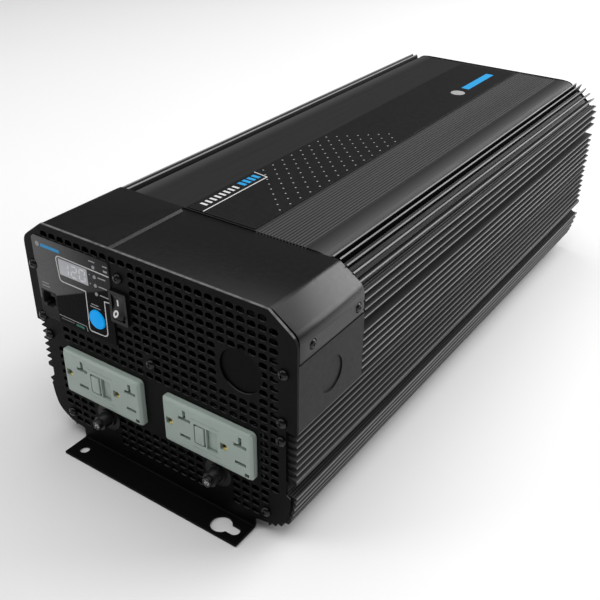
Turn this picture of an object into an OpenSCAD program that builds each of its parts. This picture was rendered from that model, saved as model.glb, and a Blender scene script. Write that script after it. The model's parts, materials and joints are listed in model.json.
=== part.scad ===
// Rack-length power inverter: finned aluminium housing, steel end panels, two twin outlets,
// two resettable breakers, a control panel, two rear fans and the power stage inside.
// X is across the housing, +Y runs from the outlet end to the battery end, +Z is up.
// The origin is on the mounting plane, under the middle of the whole part.

/* [Housing] */
// Distance between the outer faces of the two end panels
body_len = 465; // [440:5:520]
// Width over the end panels
panel_w = 203.6; // [202.6:0.2:205]
// Height of the front panel above the mounting plane
panel_h = 158; // [157.6:0.2:159]
// Sheet thickness of the end panels and their feet
panel_t = 1.6; // [1.2:0.1:2]
// Length of the sheet covers over the wiring compartment, from the panel face
cover_len = 67; // [62:1:72]
// Thickness of the sheet covers
cover_t = 1.2; // [1:0.1:1.4]
// Height of the line where the two extrusions meet
split_z = 85; // [84.6:0.1:85.4]
// Wall thickness of the extrusions between the fins
wall_t = 3; // [2.5:0.1:3.5]
// Fin height above the wall
fin_h = 7.6; // [6:0.2:8]
// Fin pitch on the sides
fin_pitch = 4.9; // [4.8:0.05:4.95]
// Width of a fin at its root
fin_root = 2.3; // [2:0.1:2.5]
// Width of a fin at its tip
fin_tip = 1.3; // [1:0.1:1.5]
// Pitch of the fine grooves on the top
groove_pitch = 2.3; // [2.1:0.05:2.35]
// Depth of the fine grooves
groove_d = 0.8; // [0.5:0.1:1]

/* [Mounting feet] */
// How far each foot stands out from its panel
foot_out = 18.6; // [16:0.2:22]
// Width of each foot
foot_w = 143.2; // [140:0.4:146]
// Diameter of the plain fixing holes
foot_hole_d = 6.8; // [6.4:0.1:7.2]
// Diameter of the wide end of each keyhole
keyhole_d = 13.6; // [12.8:0.1:14.2]
// Distance of the fixing holes from the panel face
foot_hole_y = 9.9; // [9:0.1:10.6]

/* [Front vents] */
// Pitch of the vent slots across
vent_px = 7.04; // [7:0.01:7.1]
// Pitch of the vent slots in height
vent_pz = 5.93; // [5.9:0.01:5.96]
// Length of a vent slot
vent_w = 5.7; // [4.8:0.1:5.7]
// Height of a vent slot
vent_h = 4.2; // [3.2:0.1:4.2]

/* [Outlets] */
// Width of an outlet face
outlet_w = 66.8; // [66.8:0.1:66.8]
// Height of an outlet face
outlet_h = 33.3; // [33.3:0.1:33.3]
// How far an outlet face stands out of the panel
outlet_out = 4.6; // [4:0.1:5]
// Centre of the left outlet
outlet_lx = -43.9; // [-44.5:0.1:-43.5]
// Centre of the right outlet
outlet_rx = 41; // [40.6:0.1:41.4]
// Height of the outlet centres
outlet_z = 57.3; // [57:0.1:57.6]
// Travel of the test and reset buttons
outlet_travel = 1.2; // [0.8:0.1:1.4]

/* [Controls] */
// Radius of the round power button
button_r = 6.4; // [6:0.1:6.6]
// Travel of the power button
button_travel = 1.4; // [1:0.1:1.6]
// Rocker tilt each side of its middle position
rocker_tilt = 9; // [7:0.5:10]
// Travel of a breaker's reset button when it pops out
breaker_travel = 4; // [3:0.5:5]

/* [Battery end] */
// Radius of the battery studs
stud_r = 4; // [4:0.1:4]
// How far the studs stand out of the rear panel
stud_out = 27; // [25:0.5:30]
// Fan frame size
fan_size = 80; // [80:1:80]
// Fan frame depth
fan_depth = 25; // [20:1:25]

/* [Hidden] */
$fn = 48;

hw = panel_w / 2;
wx = hw - 0.4 - fin_h;              // outer face of the side walls
tx = hw - 0.4;                      // fin tips on the sides
zt = panel_h - 0.8;                 // top face of the upper extrusion
y0 = panel_t;                       // inner face of the front panel
y1 = body_len - panel_t;            // inner face of the rear panel
mid_y = (body_len + stud_out - foot_out) / 2;
ccz = 26; ccr = 19.2;               // height where the lower corners begin, and their reach
rise = split_z - 85;

module place() translate([0, -mid_y, 0]) children();
// a profile drawn in X and Z, standing from y = a to y = b
module along_y(a, b) translate([0, b, 0]) rotate([90, 0, 0]) linear_extrude(b - a) children();
// a profile drawn in Y and Z, standing from x = a to x = b
module along_x(a, b) translate([a, 0, 0]) rotate([90, 0, 90]) linear_extrude(b - a) children();
module rod_y(r, a, b) translate([0, a, 0]) rotate([-90, 0, 0]) cylinder(r = r, h = b - a);
module rod_x(r, a, b) translate([a, 0, 0]) rotate([0, 90, 0]) cylinder(r = r, h = b - a);
module box(a, b) translate(a) cube(b - a);
module rrect(w, h, r) {
  union() {
    square([w - 2 * r, h], center = true);
    square([w, h - 2 * r], center = true);
    for (i = [-1, 1], j = [-1, 1]) translate([i * (w / 2 - r), j * (h / 2 - r)]) circle(r = r);
  }
}
module slot2(w, h) {
  union() {
    square([w - h, h], center = true);
    for (i = [-1, 1]) translate([i * (w - h) / 2, 0]) circle(r = h / 2);
  }
}

// ---- fins: outline points, clockwise seen from the front -------------------------------
function dir(a) = [cos(a), sin(a)];
function nrm(a) = [-sin(a), cos(a)];
function fin(t, a, len) = let (d = dir(a), n = nrm(a), r = fin_root / 2, h = fin_tip / 2, b = t - d * len) [
  b + n * r, t - d * h * 1.3 + n * h, t - d * h * 0.35 + n * h * 0.72, t, t - d * h * 0.35 - n * h * 0.72, t - d * h * 1.3 - n * h, b - n * r];
function join(v) = [for (a = v, p = a) p];
function mirrored(v) = [for (i = [len(v) - 1 : -1 : 0]) [-v[i][0], v[i][1]]];

grooves = join([for (i = [0 : 15]) let (x = 25.6 + i * groove_pitch) [
  [x, zt], [x + 0.35, zt - groove_d], [x + 0.85, zt - groove_d], [x + 1.2, zt]]]);
shoulder = [[68.4, zt], [70.6, zt - 0.15], [72.8, zt - 0.7], [74.8, zt - 1.7], [76.2, zt - 3.2]];
chamfer_fins = join([
  fin([79.2, panel_h - 0.6], 80, 5.6), fin([83.9, panel_h - 0.9], 66, 7), fin([88.6, panel_h - 3.6], 54, 7.4),
  fin([93.1, panel_h - 7.1], 46, 7.6), fin([97.4, panel_h - 11.2], 38, 7.8)]);
// the top side fin, with two small ridges on its upper flank
top_fin = let (t = [tx - 0.9, 140.4], d = dir(14), n = nrm(14), f = fin(t, 14, fin_h - 0.6)) concat([f[0]],
  join([for (s = [5.2, 3]) let (o = 0.58 + s * 0.08) [
    t - d * (s + 0.5) + n * o, t - d * (s + 0.2) + n * (o + 0.5), t - d * (s - 0.2) + n * (o + 0.5), t - d * (s - 0.5) + n * o]]),
  [for (i = [1 : 6]) f[i]]);
upper_side = concat(top_fin, join(concat(
  [for (i = [0 : 2]) fin([tx, 135.5 - i * (fin_pitch + 0.7)], 0, fin_h + 0.1)],
  [for (i = [0 : 5]) fin([tx, 114.3 - i * (fin_pitch + 0.02)], 0, fin_h + 0.1)])));
lx = tx - 0.5;                      // fin tips on the lower extrusion
lower_side = join([for (z = concat([83.8], [for (i = [0 : 5]) 79.9 - i * fin_pitch])) fin([lx, z], 0, fin_h - 0.4)]);
// thick lip over the side slot, two small ridges on the slot's floor, and the grooved ledge under it
side_slot = concat(
  [[wx, 51.6], [lx - 0.8, 51.1], [lx, 50.4], [lx, 48.3], [lx - 0.5, 47.8], [wx, 47.5]],
  join([for (z = [42.3, 39.9]) [[wx, z + 0.6], [wx + 0.7, z + 0.2], [wx + 0.7, z - 0.2], [wx, z - 0.6]]]),
  [[wx, 38.1]],
  join([for (x = [94.9, 96.8, 98.7]) [[x, 38.1], [x + 0.3, 37.5], [x + 0.8, 37.5], [x + 1.1, 38.1]]]),
  [[100.7, 38.1]]);
// crests of the shallow serrations round the solid lower corner
crests = [[101.2, 37.6], [100.5, 33.3], [99.6, 28.3], [98.4, 23.4], [97.3, 19.5], [95.9, 15.9], [90.4, 10.9], [86.2, 8.6], [81.8, 6.6]];
serrations = join([for (i = [0 : 7]) let (a = crests[i], e = crests[i + 1] - a, n = [e[1], -e[0]] / norm(e) * 1.7) [
  a, a + e * 0.16, a + e * 0.42 + n, a + e * 0.7 + n]]);
floor_z = ccz - 1 - ccr + fin_h - 0.5;
bottom_ribs = concat([crests[8], crests[8] - [0.9, 0.1], [80.2, floor_z]],
  join([for (i = [1 : 7]) fin([81.4 - i * 10.4, ccz - 1 - ccr], -90, fin_h - 0.4)]));
in_x = wx - wall_t;

upper_outline = concat(
  mirrored(concat(shoulder, chamfer_fins, upper_side, [[wx, split_z]])),
  grooves, shoulder, chamfer_fins, upper_side, [[wx, split_z]],
  [[in_x, split_z], [in_x, 136], [in_x - 4, 142.5], [78, zt - 5.6], [74, zt - wall_t - 1.4], [70, zt - wall_t]],
  [[-70, zt - wall_t], [-74, zt - wall_t - 1.4], [-78, zt - 5.6], [-in_x + 4, 142.5], [-in_x, 136], [-in_x, split_z]]);
lower_half = concat([[wx, split_z]], lower_side, side_slot, serrations, bottom_ribs);
lower_outline = concat(lower_half, mirrored(lower_half),
  [[-in_x, split_z], [-in_x, ccz], [-in_x + 3, ccz - 6], [-in_x + 9, floor_z + wall_t], [in_x - 9, floor_z + wall_t], [in_x - 3, ccz - 6], [in_x, ccz], [in_x, split_z]]);

// screw places on the end panels, as X, Z
low_screws = [[91.4, 77], [-91.4, 77], [80.5, 19], [-80.5, 19]];
lip_screws = [[91.4, 125.6], [-91.4, 125.6], [91.4, 91.6], [-91.4, 91.6]];
face_screws = [[-22.2, 140.8], [-2.2, 89.6]];
front_lip_screws = [[93.2, 122], [-95.4, 127.6], [92, 89.8], [-94.6, 90.4]];
boss_r = 3.6;                       // screw bosses along the walls

module lower_extrusion() color([0.07, 0.07, 0.075]) place() difference() {
  union() {
    along_y(y0, y1) polygon(lower_outline);
    for (s = low_screws) let (high = s[1] > 50)
      translate([s[0] - (high ? sign(s[0]) * 1.4 : 0), 0, s[1]]) rod_y(high ? boss_r : 4.2, y0, y1);
  }
  for (s = low_screws, y = [y0 - 1, y1 - 11]) translate([s[0], 0, s[1]]) rod_y(1.85, y, y + 12);
}
module upper_extrusion() color([0.07, 0.07, 0.075]) place() difference() {
  union() {
    along_y(cover_len, y1) polygon(upper_outline);
    for (s = lip_screws) translate([s[0] - sign(s[0]) * 1.4, 0, s[1]]) rod_y(boss_r, cover_len, y1);
  }
  for (s = lip_screws) translate([s[0], 0, s[1]]) rod_y(1.85, y1 - 11, y1 + 1);
}

// ---- end panels ------------------------------------------------------------------------
lower_edge = [[94.6, split_z + 0.2], [94.6, 38.8], [97.6, 36.9], [97.7, 33], [97.1, 28], [96, 23.4], [94.7, 19.6],
  [92.4, 16.4], [89, 13.8], [85.2, 11.6], [80.5, 9.8], [75, 9.2], [72.6, 8.8], [foot_w / 2, ccz - 18]];
panel_half = concat([[83.9, panel_h], [97.6, 148.0], [99.8, 146.0], [101.1, 143.8], [hw - 0.1, 141.2], [hw, 138.6],
  [hw, split_z + 0.2]], lower_edge);
// the rear panel keeps inside the fins, so their ends stay open
rear_half = concat([[66, panel_h - 0.3], [70.4, panel_h - 0.7], [73.2, panel_h - 1.3], [75.4, panel_h - 2.6], [77, 153.2],
  [81.4, 151.8], [85, 149.2], [88.5, 146.1], [92, 142.7], [94.4, 138.8], [94.6, 134]], lower_edge);
module sheet_outline(half) polygon(concat(half, mirrored(half)));
// the bent foot, drawn in Y and Z: outer bend radius 2.6, inner 1
foot_profile = concat([[-foot_out, 0], [panel_t - 2.6, 0]],
  [for (a = [-75 : 15 : 0]) [panel_t - 2.6, 2.6] + 2.6 * dir(a)],
  [[panel_t, ccz - 18], [0, ccz - 18]],
  [for (a = [0 : -15 : -90]) [-1, panel_t + 1] + dir(a)],
  [[-foot_out, panel_t]]);
foot_hx = 62.5;
key_x = 54; key_dx = 10.2;
module foot() difference() {
  along_x(-foot_w / 2, foot_w / 2) polygon(foot_profile);
  translate([0, -foot_hole_y, 0]) foot_holes();
}
// the rear foot is an angle bracket fixed to the outside of the rear panel, drawn in Y and Z from the panel's face
bracket_profile = concat([[foot_out - 0.1, 0], [foot_out - 0.1, panel_t]],
  [for (a = [-90 : -15 : -180]) [panel_t + 1, panel_t + 1] + dir(a)],
  [[panel_t, 14.4], [0, 14.4]],
  [for (a = [180 : 15 : 270]) (panel_t + 1) * (dir(a) + [1, 1])]);
module foot_holes() union() {
  translate([-foot_hx, 0, -1]) cylinder(d = foot_hole_d, h = 9);
  translate([key_x, 0, -1]) {
    cylinder(d = keyhole_d, h = 9);
    translate([key_dx, 0, 0]) cylinder(d = foot_hole_d, h = 9);
    translate([0, -foot_hole_d / 2, 0]) cube([key_dx, foot_hole_d, 9]);
  }
}
ov = [-93.4, -28.6, 91.4, 148.6];   // control overlay: x0, x1, z0, z1
rk = [-22.8, 121.2];                 // rocker centre
jk = [-85.2, 105.4];                // remote jack centre
bt = [-43.2, 105.9];                // power button centre
dw = [-59.5, 133.2];                // display window centre
led_z = [142.3, 135.9, 130.1, 124.4];
led_x = -40.8;
br_x = [-45.3, 45.4]; br_z = 30.6;  // breakers
ko = [64.5, 112]; ko_r = 14.1;      // front knockout
// areas kept free of vent slots: x0, x1, z0, z1
solid_areas = [
  [-100, -27, 88.6, 149.4], [-31, -14.5, 104, 150], [-28, -17, 136, 146],
  [47.9, 76, 95, 124.6], [outlet_lx - 37, outlet_lx + 37, 37.5, 77.5], [outlet_rx - 37, outlet_rx + 37, 37.5, 77.5],
  [-14, 12, 37, 77], [br_x[0] - 12, br_x[0] + 12, 0, 40], [br_x[1] - 12, br_x[1] + 12, 0, 40],
  [-100, -87, 60, 82], [-6.5, 2.2, 84.8, 94.4], [-100, -86, 20, 34], [86, 100, 20, 34], [-100, -76.5, 0, 24], [76.5, 100, 0, 24],
  [-100, -81, 74, 95], [84, 100, 149, 160], [-100, -84, 149, 160], [82, 100, 150, 160], [84, 100, 14, 22]];
function inside(p, a) = p[0] > a[0] && p[0] < a[1] && p[1] > a[2] && p[1] < a[3];
function hits(p) = len([for (a = solid_areas) if (inside(p, a)) 1]);
vents = [for (k = [0 : 23], i = [0 : 24]) let (p = [-82 + i * vent_px, 151.4 - k * vent_pz]) if (hits(p) == 0) p];

module front_sheet() difference() {
  sheet_outline(panel_half);
  for (p = vents) translate(p) slot2(vent_w, vent_h);
}
module front_panel() color([0.045, 0.045, 0.05]) place() union() {
  panel_with_cuts();
  // knockout: a disc punched halfway back, still joined all round
  translate([ko[0], 0, ko[1]]) rod_y(ko_r + 0.5, panel_t - 0.4, panel_t + 0.5);
}
module panel_with_cuts() difference() {
  union() { along_y(0, panel_t) front_sheet(); foot(); }
  for (s = concat(low_screws, front_lip_screws, face_screws)) translate([s[0], 0, s[1]]) rod_y(2.1, -1, panel_t + 1);
  for (x = [outlet_lx, outlet_rx]) translate([x, 0, outlet_z]) along_y(-1, panel_t + 1) rrect(outlet_w + 0.6, outlet_h + 0.6, 3.2);
  for (x = br_x) translate([x, 0, br_z]) rod_y(5, -1, panel_t + 1);
  translate([rk[0], 0, rk[1]]) along_y(-1, panel_t + 1) square([12.8, 19.4], center = true);
  translate([jk[0], 0, jk[1]]) along_y(-1, panel_t + 1) square([13.6, 12.8], center = true);
  translate([bt[0], 0, bt[1]]) rod_y(button_r + 1, -1, panel_t + 1);
  translate([dw[0], 0, dw[1]]) along_y(-1, panel_t + 1) square([25, 11.6], center = true);
  for (z = led_z) translate([led_x, 0, z]) rod_y(1.4, -1, panel_t + 1);
  translate([ko[0], 0, ko[1]]) rod_y(ko_r, -1, panel_t + 1);
}

// ---- battery end panel -----------------------------------------------------------------
fan_x = 42; fan_z = 107;
stud_x = [-69, -37, 37, 69];
stud_z = 46;
gnd = [0, 34];
rear_vents = [for (k = [0 : 1], i = [0 : 9]) [-31.7 + i * vent_px, 54 + k * vent_pz]];
rear_vents2 = [for (k = [0 : 1], i = [0 : 24]) let (p = [-84.5 + i * vent_px, 17.8 + k * vent_pz]) if (abs(p[0]) < 71) p];
module rear_sheet() difference() {
  along_y(y1, body_len) difference() {
    sheet_outline(rear_half);
    for (p = concat(rear_vents, rear_vents2)) translate(p) slot2(vent_w, vent_h);
  }
  for (s = concat(low_screws, lip_screws)) translate([s[0], 0, s[1]]) rod_y(2.1, y1 - 1, body_len + 1);
  for (x = [-fan_x, fan_x]) translate([x, 0, fan_z]) {
    rod_y(37.6, y1 - 1, body_len + 1);
    for (i = [-1, 1], j = [-1, 1]) translate([i * 35.75, 0, j * 35.75]) rod_y(2.2, y1 - 1, body_len + 1);
  }
  for (x = stud_x) translate([x, 0, stud_z]) rod_y(8.2, y1 - 1, body_len + 1);
  translate([gnd[0], 0, gnd[1]]) rod_y(3.1, y1 - 1, body_len + 1);
}
module rear_foot() translate([0, body_len, 0]) difference() {
  translate([0, 0.1, 0]) along_x(-foot_w / 2, foot_w / 2) polygon(bracket_profile);
  translate([0, foot_hole_y, 0]) foot_holes();
}
module rear_panel() color([0.045, 0.045, 0.05]) place() {
  rear_sheet();
  rear_foot();
}

// ---- covers of the wiring compartment ----------------------------------------------------
// outline of a cover from the top middle round to the side, o = inset from the panel outline
function cover_path(o, top) = [[83.6 - o * 0.35, top], [97.2 - o * 0.6, 147.4 - o * 0.6], [99.2 - o * 0.7, 145.5 - o * 0.6],
  [100.4 - o * 0.85, 143.2 - o * 0.4], [100.8 - o, 140.4]];
module left_cover() color([0.05, 0.05, 0.055]) place() {
  difference() {
    union() {
      along_y(y0, cover_len - 0.4) mirror([1, 0]) polygon(concat(
        [[28, panel_h - cover_t], [29.2, panel_h]], cover_path(0, panel_h), [[100.8, split_z + 0.4], [100.8 - cover_t, split_z + 0.4]],
        [for (i = [4 : -1 : 0]) cover_path(cover_t, panel_h - cover_t)[i]]));
      box([-100.8 + cover_t - 0.2, y0, split_z + 1], [-85, y0 + cover_t, 133]);
    }
    box([-29.4, cover_len - 3.4, panel_h - cover_t - 1], [-20, cover_len + 1, panel_h + 1]);
    // clear of the remote jack
    box([jk[0] - 7.2, y0 - 1, jk[1] - 6.8], [-76, y0 + 4, jk[1] + 6.8]);
    for (s = front_lip_screws) translate([s[0], 0, s[1]]) rod_y(1.85, 0, 10);
  }
}
rc_top = panel_h - cover_t;
cov_screws = [[15.5, 135.4], [cover_len - 6.5, 134.6]];
module right_cover() color([0.05, 0.05, 0.055]) place() difference() {
  along_y(y0 + 2, cover_len - 0.4) polygon(concat(
    [[-38, rc_top - cover_t], [-38, rc_top]], cover_path(0, rc_top), [[100.8, 128.8], [100.8 - cover_t, 128.8]],
    [for (i = [4 : -1 : 0]) cover_path(cover_t, rc_top - cover_t)[i]]));
  for (s = cov_screws) translate([0, s[0], s[1]]) rod_x(3.2, 95, 105);
}
sk = [33.5, 106]; sk_r = 11.1;      // side knockout: Y, Z
module right_side_plate() color([0.05, 0.05, 0.055]) place() difference() {
  union() {
    box([100.1, y0, split_z + 0.4], [101.3, cover_len - 0.4, 128.4]);
    box([85, y0, split_z + 1], [100.1, y0 + cover_t, 127.6]);
    // tab behind the cover, which takes the cover's screws
    box([98.4, y0 + 3, 122], [99.6, cover_len - 1, 139]);
    box([99.6, y0 + 3, 122], [100.1, cover_len - 1, 127.8]);
    translate([0, sk[0], sk[1]]) rod_x(sk_r + 0.5, 99.6, 100.2);
  }
  for (s = front_lip_screws) translate([s[0], 0, s[1]]) rod_y(1.85, 0, 10);
  for (s = cov_screws) translate([0, s[0], s[1]]) rod_x(1.9, 95, 105);
  // knockout: a disc punched halfway in
  translate([0, sk[0], sk[1]]) rod_x(sk_r, 100.5, 103);
}
module top_label() color([0.035, 0.035, 0.038]) place()
  box([-28.6, cover_len + 1.2, zt], [24, body_len - 8, panel_h]);
bh_x = 86;                          // half width of the bulkhead, clear of the screw bosses
module compartment_bulkhead() color([0.45, 0.46, 0.47]) place() along_y(cover_len + 2, cover_len + 3.2) difference() {
  polygon([[-bh_x, 90], [-bh_x, 136], [-bh_x + 3, 141], [-75, 150], [75, 150], [bh_x - 3, 141], [bh_x, 136], [bh_x, 90]]);
  for (i = [-6 : 6], k = [0 : 2]) translate([i * 11.4, 104 + k * 15]) slot2(8, 10.5 - 3);
}

// ---- fasteners ---------------------------------------------------------------------------
// pan-head cross-recess screw, head towards +Z
module pan_screw(r, sr, len) difference() {
  union() {
    rotate_extrude() polygon([[0, 0], [r, 0], [r, r * 0.24], [r * 0.93, r * 0.42], [r * 0.76, r * 0.57], [r * 0.5, r * 0.67], [0, r * 0.72]]);
    translate([0, 0, -len]) cylinder(r = sr, h = len + 0.2);
  }
  translate([-r * 0.55, -r * 0.12, r * 0.3]) cube([r * 1.1, r * 0.24, r]);
  translate([-r * 0.12, -r * 0.55, r * 0.3]) cube([r * 0.24, r * 1.1, r]);
}
module front_panel_screws() color([0.09, 0.09, 0.09]) place() {
  for (s = concat(low_screws, front_lip_screws)) translate([s[0], 0, s[1]]) rotate([90, 0, 0]) pan_screw(3.3, 1.7, 8);
  for (s = face_screws) translate([s[0], 0, s[1]]) rotate([90, 0, 0]) pan_screw(3.3, 1.7, 6);
}
module rear_panel_screws() color([0.09, 0.09, 0.09]) place()
  for (s = concat(low_screws, lip_screws)) translate([s[0], body_len, s[1]]) rotate([-90, 0, 0]) pan_screw(3.3, 1.7, 8);
module cover_screws() color([0.12, 0.12, 0.12]) place()
  for (s = cov_screws) translate([99.65, s[0], s[1]]) rotate([0, 90, 0]) pan_screw(2.9, 1.7, 6);

// ---- control panel -------------------------------------------------------------------------
module control_overlay() color([0.06, 0.06, 0.07]) place() difference() {
  translate([(ov[0] + ov[1]) / 2, 0, (ov[2] + ov[3]) / 2]) along_y(-0.8, 0) rrect(ov[1] - ov[0], ov[3] - ov[2], 2.5);
  translate([dw[0], 0, dw[1]]) along_y(-2, 1) square([24.8, 11.4], center = true);
  translate([bt[0], 0, bt[1]]) rod_y(button_r + 0.3, -2, 1);
  translate([jk[0], 0, jk[1]]) along_y(-2, 1) square([13.4, 12.6], center = true);
  for (z = led_z) translate([led_x, 0, z]) rod_y(1.3, -2, 1);
  for (s = front_lip_screws) translate([s[0], 0, s[1]]) rod_y(3.6, -2, 1);
  translate([rk[0], 0, rk[1]]) along_y(-2, 1) rrect(14.2, 22, 1.4);
}
module display_window() color([0.25, 0.27, 0.3, 0.5]) place()
  translate([dw[0], 0, dw[1]]) along_y(-0.7, 0.5) square([24.6, 11.2], center = true);
// seven-segment numerals: segment rectangles for the reading 120
seg_w = 0.75; seg_l = 2.9;
function seg(n) = [[0, 1, 0], [1, 1, 1], [1, -1, 1], [0, -1, 0], [-1, -1, 1], [-1, 1, 1], [0, 0, 0]][n];
module numeral(on) for (n = on) let (s = seg(n)) {
  if (s[2] == 1) translate([s[0] * seg_l / 2, s[1] * seg_l / 2]) square([seg_w, seg_l - seg_w - 0.2], center = true);
  else translate([0, s[1] * seg_l]) square([seg_l - seg_w - 0.2, seg_w], center = true);
}
module display_digits() color([0.9, 0.92, 0.95]) place() translate([dw[0], 0, dw[1]]) along_y(0.9, 1.3) {
  translate([-5.6, 0]) numeral([1, 2]);
  translate([0, 0]) numeral([0, 1, 6, 4, 3]);
  translate([5.6, 0]) numeral([0, 1, 2, 3, 4, 5]);
}
module display_module() color([0.05, 0.05, 0.05]) place()
  translate([dw[0], 0, dw[1]]) along_y(1.3, 8) square([23.8, 10.8], center = true);
module indicator_lenses() color([0.75, 0.8, 0.82]) place()
  for (z = led_z) translate([led_x, 0, z]) {
    rod_y(1.15, -1.2, 7.8);
  }
module control_board() color([0.05, 0.25, 0.12]) place() difference() {
  box([-91, 8, 93], [-32, 9.6, 147]);
  translate([bt[0], 0, bt[1]]) rod_y(2.2, 7, 11);
  box([jk[0] - 7, 7, 92], [jk[0] + 7, 11, jk[1] + 6.8]);
}
module power_button() color([0.03, 0.45, 0.85]) place() translate([bt[0], 0, bt[1]]) {
  rotate([90, 0, 0]) translate([0, 0, -4]) rotate_extrude() polygon([[0, 0], [button_r, 0], [button_r, 5.2], [button_r * 0.95, 5.7],
    [button_r * 0.84, 6.1], [button_r * 0.5, 6.45], [0, 6.6]]);
  rod_y(1.9, 4, 6.2);
}
module remote_jack() color([0.04, 0.04, 0.04]) place() translate([jk[0], 0, jk[1]]) difference() {
  along_y(-0.9, 14) square([13.2, 12.4], center = true);
  along_y(-2, 10) square([11.4, 7], center = true);
  along_y(-2, 10) translate([-1.2, 4]) square([6.6, 3], center = true);
  along_y(-2, 10) translate([0, -4]) square([6, 2.8], center = true);
}
module rocker_housing() color([0.04, 0.04, 0.04]) place() translate([rk[0], 0, rk[1]]) difference() {
  union() {
    along_y(-2, 0) rrect(13.8, 21.6, 1.2);
    along_y(0, 15) square([12.4, 19], center = true);
    for (z = [-5.5, 0, 5.5]) box([-2.4, 15, z - 0.4], [2.4, 22, z + 0.4]);
  }
  along_y(-3, 12) square([9.8, 17], center = true);
  translate([0, 4, 0]) rod_x(1.3, -6.1, 6.1);
}
// the rocker turns about a pin along X, 4 mm behind the panel face; at rest its upper end is pressed in
module rocker() color([0.05, 0.05, 0.05]) place() translate([rk[0], 4, rk[1]]) {
  rotate([-rocker_tilt, 0, 0]) along_x(-4.6, 4.6) polygon([[-6.9, -7.2], [-5.6, -3.4], [-5.1, 0], [-5.6, 3.4], [-6.9, 7.2], [-4.4, 7.4], [0.6, 3.2], [2.6, 0], [0.6, -3.2], [-4.4, -7.4]]);
  rod_x(1.25, -6, 6);
}

// ---- outlets ---------------------------------------------------------------------------------
// one twin outlet lies on its side: ground holes to the left of each blade pair
out_c = [-27.9, 13.3];              // ground hole centres from the outlet centre
module outlet_cuts(a, b) for (c = out_c) {
  along_y(a, b) translate([c, 0.2]) union() { circle(r = 2.75); translate([-2.75, -2.45]) square([2.75, 4.9]); }
  along_y(a, b) translate([c + 11.9, -6.35]) square([7.2, 1.9], center = true);
  along_y(a, b) translate([c + 11.9, 6.35]) union() { square([8.8, 1.9], center = true); translate([-0.95, 0]) square([1.9, 6.4]); }
}
tb = [-4.6, -0.2]; tb_s = [6.6, 12.2];   // test button centre and size
rb = [4.4, -0.4]; rb_s = [7, 14];       // reset button centre and size
module outlet_face() difference() {
  union() {
    along_y(-outlet_out, 4) rrect(outlet_w, outlet_h, 3);
    along_y(panel_t + 0.1, 4) rrect(outlet_w + 5, outlet_h + 4, 2);
  }
  outlet_cuts(-6, 5);
  along_y(-6, 5) translate(tb) square(tb_s + [0.4, 0.4], center = true);
  along_y(-6, 5) translate(rb) square(rb_s + [0.4, 0.4], center = true);
  along_y(-6, -3.4) translate([29.7, -13]) square([2.4, 1.4], center = true);
}
module outlet_body() difference() {
  along_y(4, 29) rrect(outlet_w + 2, outlet_h + 4, 2);
  outlet_cuts(3, 26);
  along_y(3, 12) translate(tb) square(tb_s + [0.4, 0.4], center = true);
  along_y(3, 12) translate(rb) square(rb_s + [0.4, 0.4], center = true);
}
module outlet_contacts() for (c = out_c) {
  translate([c, 0, 0.2]) difference() { rod_y(2.6, -2.4, 22); rod_y(2.2, -3, 18); box([-3, -3, -0.6], [3, 18, 3]); }
  for (z = [-6.35, 6.35]) box([c + 11.9 - 3.2, 9, z - 0.8], [c + 11.9 + 3.2, 22, z - 0.25]);
}
module test_button() union() {
  along_y(-outlet_out - 0.7, 8) translate(tb) square(tb_s, center = true);
}
module reset_button() union() {
  along_y(-outlet_out + 1.6, 8) translate(rb) square(rb_s, center = true);
}
module at_left() place() translate([outlet_lx, 0, outlet_z]) children();
module at_right() place() translate([outlet_rx, 0, outlet_z]) children();
gg = [0.52, 0.56, 0.52];
module outlet_left_face() color(gg) at_left() outlet_face();
module outlet_right_face() color(gg) at_right() outlet_face();
module outlet_left_body() color([0.75, 0.75, 0.73]) at_left() outlet_body();
module outlet_right_body() color([0.75, 0.75, 0.73]) at_right() outlet_body();
module outlet_left_test_button() color(gg) at_left() test_button();
module outlet_right_test_button() color(gg) at_right() test_button();
module outlet_left_reset_button() color(gg) at_left() reset_button();
module outlet_right_reset_button() color(gg) at_right() reset_button();
module outlet_left_contacts() color([0.8, 0.62, 0.25]) at_left() outlet_contacts();
module outlet_right_contacts() color([0.8, 0.62, 0.25]) at_right() outlet_contacts();
module outlet_indicator_lenses() color([0.02, 0.02, 0.02]) place()
  for (x = [outlet_lx, outlet_rx]) translate([x + 29.7, 0, outlet_z - 13]) along_y(-outlet_out + 0.3, -3.4) square([2.2, 1.2], center = true);

// ---- breakers ----------------------------------------------------------------------------------
module breaker_bodies() color([0.06, 0.06, 0.06]) place() for (x = br_x) translate([x, 0, br_z]) difference() {
  union() {
    rod_y(4.8, -8.6, panel_t + 1);
    along_y(panel_t, 32) rrect(17, 15, 1);
    for (i = [-5, 5]) box([i - 3, 32, -0.4], [i + 3, 39, 0.4]);
  }
  rod_y(3.3, -10, 8);
}
module breaker_nuts() color([0.1, 0.1, 0.1]) place() for (x = br_x) translate([x, 0, br_z]) difference() {
  union() {
    rotate([90, 0, 0]) cylinder(r = 9.8, h = 0.6);
    translate([0, -0.6, 0]) rotate([90, 0, 0]) cylinder(r = 6.2, h = 1.8);
  }
  rod_y(4.9, -4, 1);
}
module breaker_reset() union() {
  rotate([90, 0, 0]) translate([0, 0, -7.5]) rotate_extrude() polygon([[0, 0], [3.2, 0], [3.2, 18.0], [2.9, 18.6], [2.3, 19], [0, 19.2]]);
}
module breaker_left_reset() color([0.12, 0.12, 0.12]) place() translate([br_x[0], 0, br_z]) breaker_reset();
module breaker_right_reset() color([0.12, 0.12, 0.12]) place() translate([br_x[1], 0, br_z]) breaker_reset();

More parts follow.
